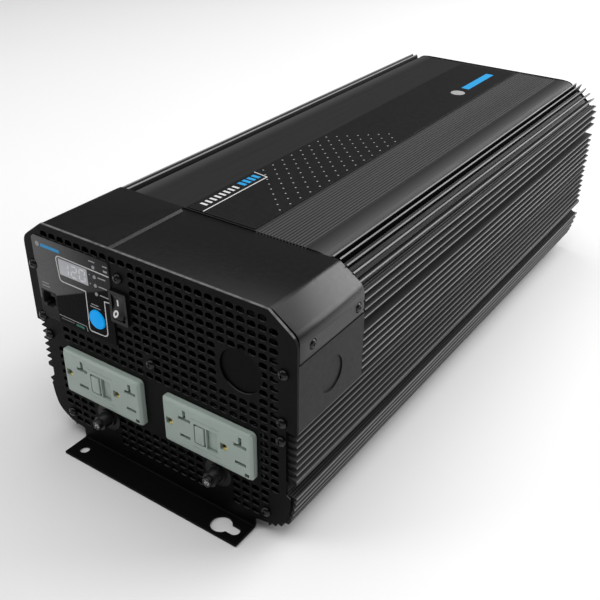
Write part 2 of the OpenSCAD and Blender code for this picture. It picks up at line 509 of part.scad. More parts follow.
// ---- fans ------------------------------------------------------------------------------------------
module fan_frame() difference() {
  union() {
    along_y(y1 - fan_depth, y1 - fan_depth + 4) rrect(fan_size, fan_size, 3);
    along_y(y1 - 4, y1) rrect(fan_size, fan_size, 3);
    rod_y(39.4, y1 - fan_depth, y1);
  }
  difference() {
    rod_y(38, y1 - fan_depth - 1, y1 + 1);
    // motor mount plate and its four arms, on the inner side
    rod_y(17, y1 - fan_depth, y1 - fan_depth + 3);
    for (a = [45 : 90 : 315]) rotate([0, a, 0]) box([10, y1 - fan_depth, -1.6], [39, y1 - fan_depth + 3, 1.6]);
  }
  rod_y(2, y1 - fan_depth - 1, y1 - fan_depth + 4);
  for (i = [-1, 1], j = [-1, 1]) translate([i * 35.75, 0, j * 35.75]) rod_y(2.15, y1 - fan_depth - 1, y1 + 1);
}
module fan_rotor() union() {
  difference() {
    rod_y(17.5, y1 - fan_depth + 4, y1 - 2);
    rod_y(15.5, y1 - fan_depth + 3, y1 - 5);
  }
  rod_y(1.95, y1 - fan_depth + 0.6, y1 - 4);
  intersection() {
    difference() { rod_y(36.6, y1 - fan_depth + 4.5, y1 - 2.5); rod_y(17, y1 - fan_depth, y1); }
    for (a = [0 : 360 / 7 : 359]) rotate([0, a, 0]) translate([27, y1 - 11.8, 0]) rotate([38, 0, 0]) cube([24, 1.5, 27], center = true);
  }
}
module at_fan(s) place() translate([s * fan_x, 0, fan_z]) children();
module fan_left_frame() color([0.05, 0.05, 0.05]) at_fan(-1) fan_frame();
module fan_right_frame() color([0.05, 0.05, 0.05]) at_fan(1) fan_frame();
module fan_left_rotor() color([0.07, 0.07, 0.07]) at_fan(-1) fan_rotor();
module fan_right_rotor() color([0.07, 0.07, 0.07]) at_fan(1) fan_rotor();
module fan_guards() color([0.7, 0.7, 0.72]) for (s = [-1, 1]) at_fan(s) {
  for (r = [10, 17.5, 25, 32.5, 38]) translate([0, body_len + 1.6, 0]) rotate([90, 0, 0]) rotate_extrude() translate([r, 0]) circle(r = 0.8, $fn = 16);
  for (a = [45 : 90 : 315]) rotate([0, a, 0]) box([9.6, body_len + 2.2, -0.8], [47.6, body_len + 3.6, 0.8]);
  for (i = [-1, 1], j = [-1, 1]) translate([i * 35.75, 0, j * 35.75]) difference() {
    rod_y(4.2, body_len, body_len + 3.6);
    rod_y(2.3, body_len - 1, body_len + 4);
  }
}
module fan_screws() color([0.6, 0.6, 0.62]) for (s = [-1, 1]) at_fan(s)
  for (i = [-1, 1], j = [-1, 1]) translate([i * 35.75, body_len + 3.6, j * 35.75]) rotate([-90, 0, 0]) pan_screw(3.2, 1.9, 14);

// ---- battery terminals --------------------------------------------------------------------------------
module terminal_block(xs) for (x = xs) translate([x, 0, stud_z]) difference() {
  union() {
    rod_y(8, y1 - 4, body_len + 1);
    along_y(body_len, body_len + 6) rrect(26, 30, 3);
    along_y(y1 - 6, y1) rrect(24, 28, 2);
  }
  rod_y(stud_r + 0.2, y1 - 8, body_len + 8);
}
module positive_terminal_block() color([0.6, 0.05, 0.04]) place() terminal_block([stud_x[0], stud_x[1]]);
module negative_terminal_block() color([0.05, 0.05, 0.05]) place() terminal_block([stud_x[2], stud_x[3]]);
module studs(xs) for (x = xs) translate([x, 0, stud_z]) union() {
  rod_y(stud_r - 0.2, y1 - 22, body_len + 14.2);
  rod_y(stud_r, body_len + 14, body_len + stud_out - 0.8);
  translate([0, body_len + stud_out - 0.8, 0]) rotate([-90, 0, 0]) cylinder(r1 = stud_r, r2 = stud_r - 0.8, h = 0.8);
  // pressed-on hex shoulder behind the block
  translate([0, y1 - 10, 0]) rotate([90, 0, 0]) cylinder(r = 8, h = 5, $fn = 6);
}
module positive_studs() color([0.75, 0.6, 0.3]) place() studs([stud_x[0], stud_x[1]]);
module negative_studs() color([0.75, 0.6, 0.3]) place() studs([stud_x[2], stud_x[3]]);
module stud_nuts() color([0.7, 0.7, 0.72]) place() for (x = stud_x) translate([x, 0, stud_z]) difference() {
  union() {
    rod_y(8.5, body_len + 6, body_len + 7.4);
    translate([0, body_len + 14, 0]) rotate([90, 0, 0]) cylinder(r = 7.5, h = 6.6, $fn = 6);
  }
  rod_y(stud_r - 0.15, body_len + 5, body_len + 16);
}
module busbars() color([0.72, 0.42, 0.25]) place() for (s = [-1, 1]) difference() {
  union() {
    box([s > 0 ? 27 : -79, y1 - 10, stud_z - 9], [s > 0 ? 79 : -27, y1 - 6.2, stud_z + 9]);
    box([s > 0 ? 43 : -63, y1 - 50, stud_z - 9], [s > 0 ? 63 : -43, y1 - 9, stud_z - 6]);
    // leg down to the board
    box([s > 0 ? 43 : -63, y1 - 50, bz + 1.6], [s > 0 ? 63 : -43, y1 - 47, stud_z - 6]);
  }
  for (x = stud_x) translate([x, 0, stud_z]) rod_y(stud_r + 0.2, y1 - 12, y1);
}
module ground_stud() color([0.72, 0.72, 0.7]) place() translate([gnd[0], 0, gnd[1]]) union() {
  rod_y(3, y1 - 8, body_len + 17);
  translate([0, y1, 0]) rotate([90, 0, 0]) cylinder(r = 6, h = 4, $fn = 6);
  translate([0, body_len + 4, 0]) rotate([90, 0, 0]) cylinder(r = 6, h = 4, $fn = 6);
}

// ---- power stage ----------------------------------------------------------------------------------------
by0 = 78; by1 = y1 - 42;            // main board ends
bz = floor_z + wall_t + 9;          // underside of the main board
st = [for (x = [-71, 0, 71], y = [by0 + 8, (by0 + by1) / 2, by1 - 8]) [x, y]];
module main_board() color([0.05, 0.28, 0.14]) place() difference() {
  box([-82, by0, bz], [82, by1, bz + 1.6]);
  for (p = st) translate([p[0], p[1], bz - 1]) cylinder(r = 1.7, h = 4);
}
module board_standoffs() color([0.75, 0.62, 0.3]) place() for (p = st) translate([p[0], p[1], 0]) {
  translate([0, 0, floor_z + wall_t]) cylinder(r = 3.4, h = bz - floor_z - wall_t);
  translate([0, 0, bz - 0.2]) cylinder(r = 1.6, h = 2.2);
  translate([0, 0, bz + 1.6]) cylinder(r = 3, h = 1.6);
}
tr = [for (x = [-28, 28], y = [128, 194, 260]) [x, y]];
module transformer_cores() color([0.16, 0.16, 0.17]) place() for (p = tr) translate([p[0], p[1], bz + 1.6]) difference() {
  box([-23, -24, 0], [23, 24, 46]);
  box([-24, -16, 12], [24, -7, 34]);
  box([-24, 7, 12], [24, 16, 34]);
}
module transformer_windings() color([0.72, 0.5, 0.12]) place() for (p = tr) translate([p[0], p[1], bz + 1.6])
  for (s = [-1, 1]) {
    box([-20, s > 0 ? 7.4 : -15.6, 12.4], [20, s > 0 ? 15.6 : -7.4, 33.6]);
    box([s > 0 ? 23.2 : -27, -14, 13], [s > 0 ? 27 : -23.2, 14, 33]);
  }
module bulk_capacitors() color([0.07, 0.08, 0.16]) place() for (x = [-24, 24], y = [318, 352]) translate([x, y, bz + 1.6]) {
  cylinder(r = 15, h = 50);
  translate([0, 0, 50]) cylinder(r = 13.6, h = 0.6);
}
module input_capacitors() color([0.1, 0.1, 0.11]) place() for (i = [0 : 6]) translate([-60 + i * 20, by1 - 22, bz + 1.6]) {
  cylinder(r = 8, h = 34);
  translate([0, 0, 34]) cylinder(r = 7, h = 0.5);
}
q_y = [for (i = [0 : 9]) 110 + i * 26];
module power_transistors() color([0.06, 0.06, 0.065]) place() for (s = [-1, 1], y = q_y) translate([s * (in_x - 2.7), y, 0])
  union() { box([-2.5, -8, 46], [2.5, 8, 67]); for (k = [-5.4, 0, 5.4]) box([-0.4, k - 0.6, bz + 1.8], [0.4, k + 0.6, 46.2]); }
module transistor_clamps() color([0.62, 0.63, 0.65]) place() for (s = [-1, 1])
  translate([s * (in_x - 7.4), 0, 0]) box([-2, q_y[0] - 12, 52], [2, q_y[9] + 12, 62]);
module output_choke() color([0.6, 0.36, 0.12]) place() translate([66, 98, bz + 1.6 + 17.9]) rotate([0, 90, 0])
  rotate_extrude() translate([11.5, 0]) circle(r = 6.2);
module ac_terminal_block() color([0.85, 0.85, 0.82]) place() difference() {
  union() {
    box([30, cover_len - 20, 100], [78, cover_len + 2, 116]);
    for (i = [0 : 3]) box([29.5 + i * 15.8, cover_len - 21, 99], [31.1 + i * 15.8, cover_len + 2, 118]);
  }
  for (i = [0 : 2]) translate([38.2 + i * 15.8, cover_len - 25, 108]) {
    rod_y(3, 0, 12);
    translate([0, 12, 0]) cylinder(r = 2.4, h = 12);
  }
}

lower_extrusion();
upper_extrusion();
front_panel();
rear_panel();
left_cover();
right_cover();
right_side_plate();
top_label();
compartment_bulkhead();
front_panel_screws();
rear_panel_screws();
cover_screws();
control_overlay();
display_window();
display_digits();
display_module();
indicator_lenses();
control_board();
power_button();
remote_jack();
rocker_housing();
rocker();
outlet_left_face();
outlet_left_body();
outlet_left_test_button();
outlet_left_reset_button();
outlet_left_contacts();
outlet_right_face();
outlet_right_body();
outlet_right_test_button();
outlet_right_reset_button();
outlet_right_contacts();
outlet_indicator_lenses();
breaker_bodies();
breaker_nuts();
breaker_left_reset();
breaker_right_reset();
fan_left_frame();
fan_left_rotor();
fan_right_frame();
fan_right_rotor();
fan_guards();
fan_screws();
positive_terminal_block();
negative_terminal_block();
positive_studs();
negative_studs();
stud_nuts();
busbars();
ground_stud();
main_board();
board_standoffs();
transformer_cores();
transformer_windings();
bulk_capacitors();
input_capacitors();
power_transistors();
transistor_clamps();
output_choke();
ac_terminal_block();
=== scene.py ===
import json
import math

import bmesh
import bpy
from mathutils import Matrix, Vector


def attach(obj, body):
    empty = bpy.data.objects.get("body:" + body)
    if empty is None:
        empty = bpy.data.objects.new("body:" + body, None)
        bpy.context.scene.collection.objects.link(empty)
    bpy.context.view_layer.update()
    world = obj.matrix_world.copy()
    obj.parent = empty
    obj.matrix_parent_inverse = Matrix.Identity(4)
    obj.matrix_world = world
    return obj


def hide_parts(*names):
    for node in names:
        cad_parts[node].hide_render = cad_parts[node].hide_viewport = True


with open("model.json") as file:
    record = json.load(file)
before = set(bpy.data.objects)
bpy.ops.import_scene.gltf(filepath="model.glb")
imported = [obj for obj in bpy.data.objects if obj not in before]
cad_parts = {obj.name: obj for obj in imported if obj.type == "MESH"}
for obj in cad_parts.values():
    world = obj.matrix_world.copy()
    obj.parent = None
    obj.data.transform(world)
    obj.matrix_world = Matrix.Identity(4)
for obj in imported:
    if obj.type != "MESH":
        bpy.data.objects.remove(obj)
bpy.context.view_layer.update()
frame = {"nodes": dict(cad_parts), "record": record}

nodes = frame["nodes"]
MID = 236.7          # millimetres from the front panel's face to the middle of the part
BODY = 465.0
HOUSE = "housing"


def P(x, y, z):
    return Vector((x / 1000.0, (y - MID) / 1000.0, z / 1000.0))


# ------------------------------------------------------------------ materials
def links(nt, a, b):
    nt.links.new(a, b)


def material(name, color, rough=0.4, metal=0.0, spec=0.5, coat=0.0, coat_rough=0.08, var=0.12, var_scale=40.0,
             rough_var=0.05, rough_scale=300.0, stretch=(1, 1, 1), bump=0.25, bump_scale=1400.0, bump_dist=0.00004,
             detail=3.0, emission=None, em=0.0, alpha=1.0, sheen=0.0, grain=None, wear=None, sss=0.0):
    m = bpy.data.materials.new(name)
    m.use_nodes = True
    nt = m.node_tree
    nt.nodes.clear()
    out = nt.nodes.new("ShaderNodeOutputMaterial")
    bs = nt.nodes.new("ShaderNodeBsdfPrincipled")
    links(nt, bs.outputs["BSDF"], out.inputs["Surface"])
    tc = nt.nodes.new("ShaderNodeTexCoord")
    mp = nt.nodes.new("ShaderNodeMapping")
    mp.inputs["Scale"].default_value = stretch
    links(nt, tc.outputs["Object"], mp.inputs["Vector"])

    def noise(scale, det=3.0, vec=None):
        n = nt.nodes.new("ShaderNodeTexNoise")
        n.inputs["Scale"].default_value = scale
        n.inputs["Detail"].default_value = det
        n.inputs["Roughness"].default_value = 0.55
        links(nt, vec if vec is not None else mp.outputs["Vector"], n.inputs["Vector"])
        return n

    # colour: a broad, soft variation
    n1 = noise(var_scale, 4.0)
    ramp = nt.nodes.new("ShaderNodeValToRGB")
    ramp.color_ramp.elements[0].position = 0.3
    ramp.color_ramp.elements[1].position = 0.7
    ramp.color_ramp.elements[0].color = (*[max(0.0, c * (1 - var)) for c in color], 1)
    ramp.color_ramp.elements[1].color = (*[min(1.0, c * (1 + var)) for c in color], 1)
    links(nt, n1.outputs["Fac"], ramp.inputs["Fac"])
    col = ramp.outputs["Color"]
    if grain is not None:      # fine speckle of a moulded or powder-coated surface
        g = noise(grain[0], 2.0)
        gr = nt.nodes.new("ShaderNodeMapRange")
        gr.inputs["From Min"].default_value = 0.35
        gr.inputs["From Max"].default_value = 0.7
        gr.inputs["To Min"].default_value = 1.0 - grain[1]
        gr.inputs["To Max"].default_value = 1.0 + grain[1]
        links(nt, g.outputs["Fac"], gr.inputs["Value"])
        mul = nt.nodes.new("ShaderNodeVectorMath")
        mul.operation = "SCALE"
        links(nt, col, mul.inputs[0])
        links(nt, gr.outputs["Result"], mul.inputs["Scale"])
        col = mul.outputs["Vector"]
    links(nt, col, bs.inputs["Base Color"])
    # roughness: patches and streaks
    n2 = noise(rough_scale, detail)
    mr = nt.nodes.new("ShaderNodeMapRange")
    mr.inputs["From Min"].default_value = 0.3
    mr.inputs["From Max"].default_value = 0.7
    mr.inputs["To Min"].default_value = max(0.02, rough - rough_var)
    mr.inputs["To Max"].default_value = min(1.0, rough + rough_var)
    links(nt, n2.outputs["Fac"], mr.inputs["Value"])
    links(nt, mr.outputs["Result"], bs.inputs["Roughness"])
    if bump > 0:
        n3 = noise(bump_scale, 2.0)
        bp = nt.nodes.new("ShaderNodeBump")
        bp.inputs["Strength"].default_value = bump
        bp.inputs["Distance"].default_value = bump_dist
        links(nt, n3.outputs["Fac"], bp.inputs["Height"])
        links(nt, bp.outputs["Normal"], bs.inputs["Normal"])
    bs.inputs["Metallic"].default_value = metal
    bs.inputs["Specular IOR Level"].default_value = spec
    bs.inputs["Coat Weight"].default_value = coat
    bs.inputs["Coat Roughness"].default_value = coat_rough
    bs.inputs["Alpha"].default_value = alpha
    if sheen:
        bs.inputs["Sheen Weight"].default_value = sheen
    if emission is not None:
        bs.inputs["Emission Color"].default_value = (*emission, 1)
        bs.inputs["Emission Strength"].default_value = em
    return m


M = {}
M["anodised"] = None   # made below, it follows the fins
M["cover"] = material("cover_powder_coat", (0.0028, 0.0028, 0.0031), rough=0.33, spec=0.40, var=0.10, var_scale=25, rough_var=0.03,
                      bump=0.16, bump_scale=1900, bump_dist=0.00003, grain=(2600, 0.14))
M["side_plate"] = material("plate_powder_coat", (0.009, 0.009, 0.0096), rough=0.45, spec=0.16, var=0.10, var_scale=30, rough_var=0.04,
                           bump=0.25, bump_scale=1900, bump_dist=0.00003, grain=(2600, 0.14))
M["panel"] = None      # made below, with painted highlights along the sheet's top edges and painted shade in its slots
M["label"] = material("label_film", (0.0030, 0.0030, 0.0032), rough=0.42, spec=0.34, var=0.08, var_scale=30, rough_var=0.04,
                      bump=0.12, bump_scale=2400, bump_dist=0.00002)
M["zinc"] = material("zinc_plate", (0.56, 0.57, 0.58), rough=0.3, metal=1.0, var=0.1, var_scale=90, rough_var=0.09, rough_scale=500,
                     bump=0.15, bump_scale=900)
M["black_screw"] = material("black_oxide_screw", (0.004, 0.004, 0.0043), rough=0.24, spec=0.32, var=0.25, var_scale=300,
                            rough_var=0.07, rough_scale=1500, bump=0.15, bump_scale=2500)
M["black_plastic"] = material("moulded_black_plastic", (0.016, 0.016, 0.017), rough=0.42, spec=0.45, var=0.1, var_scale=120,
                              rough_var=0.05, bump=0.3, bump_scale=3200, bump_dist=0.00003, grain=(3000, 0.12))
M["gloss_black"] = material("polished_black_plastic", (0.009, 0.009, 0.01), rough=0.2, spec=0.5, var=0.1, var_scale=120,
                            rough_var=0.04, bump=0.05, bump_scale=800)
M["lens"] = material("frosted_light_pipe", (0.17, 0.175, 0.18), rough=0.3, spec=0.5, var=0.05, var_scale=400, rough_var=0.04,
                     bump=0.05, emission=(0.8, 0.85, 0.9), em=0.08)
M["pcb"] = material("solder_mask", (0.004, 0.022, 0.010), rough=0.32, spec=0.5, var=0.25, var_scale=220, rough_var=0.06, bump=0.2,
                    bump_scale=700)
M["blue"] = material("blue_silicone_button", (0.0, 0.30, 0.78), rough=0.46, spec=0.14, var=0.05, var_scale=160, rough_var=0.05,
                     bump=0.2, bump_scale=2800, bump_dist=0.00003, emission=(0.0, 0.36, 0.85), em=0.34)
M["outlet"] = material("outlet_thermoplastic", (0.355, 0.425, 0.385), rough=0.34, spec=0.5, var=0.05, var_scale=30, rough_var=0.05,
                       bump=0.12, bump_scale=1600, bump_dist=0.00003, grain=(2200, 0.04))
M["outlet_back"] = material("outlet_thermoset", (0.02, 0.02, 0.021), rough=0.5, spec=0.4, var=0.08, var_scale=80, bump=0.25)
M["brass"] = material("brass_contact", (0.78, 0.56, 0.16), rough=0.24, metal=1.0, var=0.12, var_scale=250, rough_var=0.08, bump=0.12)
M["copper"] = material("copper_bar", (0.72, 0.36, 0.2), rough=0.3, metal=1.0, var=0.2, var_scale=90, rough_var=0.1, bump=0.15)
M["red"] = material("red_insulator", (0.38, 0.012, 0.01), rough=0.38, spec=0.5, var=0.1, var_scale=90, rough_var=0.05, bump=0.25,
                    bump_scale=2600, grain=(2600, 0.06))
M["ferrite"] = material("sintered_ferrite", (0.035, 0.035, 0.038), rough=0.5, spec=0.4, var=0.2, var_scale=200, bump=0.3)
M["winding"] = material("taped_winding", (0.6, 0.36, 0.03), rough=0.45, spec=0.4, var=0.1, var_scale=90, stretch=(1, 1, 6), bump=0.3)
M["cap"] = material("capacitor_sleeve", (0.012, 0.014, 0.06), rough=0.28, spec=0.5, var=0.1, var_scale=90, bump=0.1)
M["epoxy"] = material("moulded_epoxy", (0.02, 0.02, 0.022), rough=0.5, spec=0.4, var=0.2, var_scale=300, bump=0.3)
M["alu"] = material("mill_aluminium", (0.6, 0.61, 0.63), rough=0.34, metal=1.0, var=0.08, var_scale=60, stretch=(1, 0.05, 1),
                    rough_var=0.1, bump=0.2)
M["choke"] = material("enamelled_wire", (0.42, 0.14, 0.03), rough=0.25, spec=0.6, var=0.25, var_scale=300, stretch=(8, 1, 1), bump=0.4)
M["ivory"] = material("ivory_moulding", (0.55, 0.54, 0.46), rough=0.4, spec=0.45, var=0.06, var_scale=80, bump=0.2)
M["ink_white"] = material("white_ink", (0.62, 0.62, 0.62), rough=0.5, spec=0.3, var=0.05, var_scale=200, bump=0.05)
M["ink_mark"] = material("white_mark", (0.80, 0.80, 0.80), rough=0.5, spec=0.2, var=0.04, var_scale=200, bump=0.05)
M["ink_grey"] = material("grey_ink", (0.34, 0.34, 0.34), rough=0.5, spec=0.3, var=0.06, var_scale=200, bump=0.05)
M["ink_dim"] = material("dim_ink", (0.15, 0.15, 0.15), rough=0.5, spec=0.3, var=0.06, var_scale=200, bump=0.05)
M["ink_blue"] = material("blue_ink", (0.02, 0.3, 0.62), rough=0.5, spec=0.3, var=0.05, var_scale=200, bump=0.05)
M["ink_green"] = material("green_ink", (0.02, 0.16, 0.11), rough=0.5, spec=0.3, var=0.05, var_scale=200, bump=0.05)
M["window"] = material("display_glass", (0.21, 0.215, 0.225), rough=0.22, spec=0.3, var=0.06, var_scale=60, rough_var=0.03, bump=0.03,
                       bump_scale=300, emission=(0.98, 1.0, 1.05), em=0.17)
M["diffuser"] = material("display_diffuser", (0.2, 0.205, 0.235), rough=0.5, spec=0.3, var=0.06, var_scale=80, bump=0.05,
                         emission=(0.6, 0.62, 0.72), em=0.16)
M["segment"] = material("lit_segment", (0.37, 0.375, 0.39), rough=0.4, spec=0.3, var=0.03, var_scale=200, bump=0.03,
                        emission=(0.95, 0.97, 1.0), em=0.22)
# painted highlight: the seam's cut edge is a light grey standing in for the light it catches
M["seam"] = material("seam_painted_highlight", (0.33, 0.33, 0.335), rough=0.4, metal=0.0, spec=0.5, var=0.08, var_scale=90, stretch=(1, 0.05, 1),
                     rough_var=0.06, bump=0.15, bump_scale=1600)


def layered_material(name, build, rough, spec, rough_var=0.05, bump=0.2, bump_scale=2400.0, bump_dist=0.00003, stretch=(1, 1, 1)):
    """Principled material whose base colour comes from build(kit), a function of place on the object."""
    m = bpy.data.materials.new(name)
    m.use_nodes = True
    nt = m.node_tree
    nt.nodes.clear()
    out = nt.nodes.new("ShaderNodeOutputMaterial")
    bs = nt.nodes.new("ShaderNodeBsdfPrincipled")
    links(nt, bs.outputs["BSDF"], out.inputs["Surface"])
    tc = nt.nodes.new("ShaderNodeTexCoord")
    ab = nt.nodes.new("ShaderNodeVectorMath")      # both sides alike
    ab.operation = "ABSOLUTE"
    links(nt, tc.outputs["Object"], ab.inputs[0])
    sep = nt.nodes.new("ShaderNodeSeparateXYZ")
    links(nt, ab.outputs["Vector"], sep.inputs["Vector"])
    sn = nt.nodes.new("ShaderNodeSeparateXYZ")
    links(nt, tc.outputs["Normal"], sn.inputs["Vector"])
    so = nt.nodes.new("ShaderNodeSeparateXYZ")
    links(nt, tc.outputs["Object"], so.inputs["Vector"])

    class Kit:
        x, y, z, up = sep.outputs["X"], sep.outputs["Y"], sep.outputs["Z"], sn.outputs["Z"]
        side = so.outputs["X"]

        @staticmethod
        def ramp(sock, a, b, lo=0.0, hi=1.0):
            n = nt.nodes.new("ShaderNodeMapRange")
            n.clamp = True
            n.interpolation_type = "SMOOTHSTEP"
            for k, v in (("From Min", a), ("From Max", b), ("To Min", lo), ("To Max", hi)):
                n.inputs[k].default_value = v
            links(nt, sock, n.inputs["Value"])
            return n.outputs["Result"]

        @staticmethod
        def op(kind, a, b):
            n = nt.nodes.new("ShaderNodeMath")
            n.operation = kind
            for i, v in enumerate((a, b)):
                if isinstance(v, (int, float)):
                    n.inputs[i].default_value = v
                else:
                    links(nt, v, n.inputs[i])
            return n.outputs["Value"]

        @staticmethod
        def plane(nx, nz, d, w):
            """1 where nx*|x| + nz*z passes d (metres), over a width w."""
            n = nt.nodes.new("ShaderNodeVectorMath")
            n.operation = "DOT_PRODUCT"
            links(nt, ab.outputs["Vector"], n.inputs[0])
            n.inputs[1].default_value = (nx, 0, nz)
            return Kit.ramp(n.outputs["Value"], d - w, d)

        @staticmethod
        def noise(scale, sx=1.0, sy=1.0, sz=1.0, detail=3.0):
            mp = nt.nodes.new("ShaderNodeMapping")
            mp.inputs["Scale"].default_value = (sx, sy, sz)
            links(nt, tc.outputs["Object"], mp.inputs["Vector"])
            n = nt.nodes.new("ShaderNodeTexNoise")
            n.inputs["Scale"].default_value = scale
            n.inputs["Detail"].default_value = detail
            links(nt, mp.outputs["Vector"], n.inputs["Vector"])
            return n.outputs["Fac"]

        @staticmethod
        def mix(fac, a, b):
            n = nt.nodes.new("ShaderNodeMix")
            n.data_type = "RGBA"
            for k, v in (("A", a), ("B", b)):
                if isinstance(v, tuple):
                    n.inputs[k].default_value = (*v, 1)
                else:
                    links(nt, v, n.inputs[k])
            links(nt, fac, n.inputs["Factor"])
            return n.outputs["Result"]

    links(nt, build(Kit), bs.inputs["Base Color"])
    links(nt, Kit.ramp(Kit.noise(700, *stretch), 0.3, 0.7, rough - rough_var, rough + rough_var), bs.inputs["Roughness"])
    bp = nt.nodes.new("ShaderNodeBump")
    bp.inputs["Strength"].default_value = bump
    bp.inputs["Distance"].default_value = bump_dist
    links(nt, Kit.noise(bump_scale, *stretch), bp.inputs["Height"])
    links(nt, bp.outputs["Normal"], bs.inputs["Normal"])
    bs.inputs["Specular IOR Level"].default_value = spec
    return m


def anodised(k):
    """Black anodising, deep black, with painted light: faces that look up are painted lighter as painted top light, and
    the shoulder and the fin crests carry painted highlights.
    """
    streak = k.ramp(k.noise(160, 1, 0.02, 1), 0.3, 0.7, 0.75, 1.15)
    # painted top light: faces that look up are painted lighter, with streaks
    painted_top_light = k.op("MULTIPLY", k.ramp(k.up, 0.35, 0.95), streak)
    c = k.mix(painted_top_light, (0.0028, 0.0028, 0.0030), (0.050, 0.050, 0.051))
    # on the top face, set tones take the place of the painted top light, lighter over the ribbed band
    top = k.op("MULTIPLY", k.ramp(k.z, 0.1553, 0.1566), k.ramp(k.up, 0.2, 0.6))
    ribbed = k.op("MULTIPLY", k.ramp(k.side, 0.0250, 0.0256), k.ramp(k.side, 0.0618, 0.0612))
    plain = k.mix(k.noise(260, 1, 0.015, 1), (0.0165, 0.0165, 0.0168), (0.0235, 0.0235, 0.0240))
    c = k.mix(top, c, k.mix(ribbed, plain, k.mix(k.noise(260, 1, 0.015, 1), (0.050, 0.050, 0.051), (0.084, 0.084, 0.085))))
    # painted highlight: the rounded shoulder is painted lighter across its width
    sh = k.op("MULTIPLY", k.ramp(k.x, 0.0600, 0.0755), k.op("MULTIPLY", k.ramp(k.z, 0.1525, 0.1535), k.ramp(k.x, 0.0768, 0.0764)))
    c = k.mix(sh, c, (0.062, 0.062, 0.063))
    # painted highlight on the fin crests: outside these planes lies only the crest of each fin
    tips = k.op("MULTIPLY", k.plane(1, 0, 0.1014, 0.0007), k.ramp(k.z, 0.0848, 0.0852))
    for nx, nz, d in ((0.6066, 0.795, 0.1758), (0.9, 0.436, 0.1517)):
        tips = k.op("MAXIMUM", tips, k.plane(nx, nz, d, 0.0007))
    tips = k.op("MAXIMUM", tips, k.op("MULTIPLY", k.ramp(k.z, 0.1566, 0.1570), k.ramp(k.x, 0.0772, 0.0776)))
    # a weaker painted highlight on the crests of the lower fins
    low = k.op("MULTIPLY", k.plane(1, 0, 0.1009, 0.0006), k.ramp(k.z, 0.0852, 0.0848))
    for nx, nz, d in ((0.978, -0.2075, 0.0912), (0.673, -0.74, 0.0527)):
        low = k.op("MAXIMUM", low, k.op("MULTIPLY", k.plane(nx, nz, d, 0.0005), k.ramp(k.z, 0.0405, 0.0385)))
    # the painted highlight stays off faces that look down
    tips = k.op("MULTIPLY", k.op("MAXIMUM", tips, k.op("MULTIPLY", low, 0.6)), k.ramp(k.up, -0.25, 0.35))
    return k.mix(k.op("MULTIPLY", tips, k.ramp(k.noise(420, 1, 0.03, 1), 0.25, 0.75, 0.7, 1.0)), c, (0.30, 0.30, 0.305))


def panel(k):
    """Black powder coat with painted light: lighter towards the top, painted highlights along the sheet's top edges,
    and painted shade in the slots.
    """
    grain = k.noise(2400)
    c = k.mix(grain, (0.0018, 0.0018, 0.0020), (0.0036, 0.0036, 0.0040))
    # painted shade: the coat grows darker towards the bottom
    c = k.mix(k.ramp(k.z, 0.07, 0.158), c, (0.0052, 0.0052, 0.0056))
    # painted highlight along the top edges of the sheet
    edge = k.op("MAXIMUM", k.plane(0, 1, 0.15795, 0.0003), k.plane(0.59, 0.807, 0.17690, 0.0003))
    # painted shade on the walls of the slots in the front sheet, with a painted highlight on their upward faces near
    # the front
    cut = k.op("MULTIPLY", k.op("MULTIPLY", k.ramp(k.y, 0.23668, 0.23660), k.ramp(k.y, 0.2345, 0.2350)), k.ramp(k.x, 0.0995, 0.0990))
    cut = k.op("MULTIPLY", cut, k.ramp(k.z, 0.1572, 0.1568))
    c = k.mix(cut, c, (0.0004, 0.0004, 0.0004))
    c = k.mix(k.op("MULTIPLY", k.op("MULTIPLY", cut, k.ramp(k.up, 0.55, 0.95)), k.ramp(k.y, 0.2358, 0.2362)), c, (0.075, 0.075, 0.078))
    return k.mix(k.op("MULTIPLY", edge, k.ramp(k.noise(300, 1, 1, 1), 0.3, 0.6, 0.5, 1.0)), c, (0.14, 0.14, 0.142))


def film(k):
    """Printed gloss film: graphite at the upper left, black below a slanting edge; the fade of the graphite to black
    towards the right is painted light falling from the upper left, and a strip at the outer edge grows lighter towards
    the top.
    """
    # painted light: the graphite fades from the outer edge towards the middle
    left = k.ramp(k.x, 0.030, 0.092, 0.26, 1.0)
    # the slanting edge: z = 110.8 mm + 0.414 (78 - |x|)
    n = k.op("ADD", k.z, k.op("MULTIPLY", k.x, 0.414))
    up = k.ramp(n, 0.1422, 0.1436)
    right = k.ramp(k.z, 0.1185, 0.1270)
    inner = k.ramp(k.x, 0.0540, 0.0500)
    up = k.op("MULTIPLY", up, k.op("SUBTRACT", 1.0, k.op("MULTIPLY", inner, k.op("SUBTRACT", 1.0, right))))
    margin = k.op("MULTIPLY", k.ramp(k.x, 0.0780, 0.0786), k.ramp(k.z, 0.092, 0.118, 0.16, 0.5))
    f = k.op("MAXIMUM", k.op("MULTIPLY", up, left), margin)
    return k.mix(f, (0.0022, 0.0022, 0.0030), (0.135, 0.135, 0.138))


M["overlay"] = layered_material("control_film", film, 0.28, 0.03, 0.04, bump=0.08, bump_scale=1500)
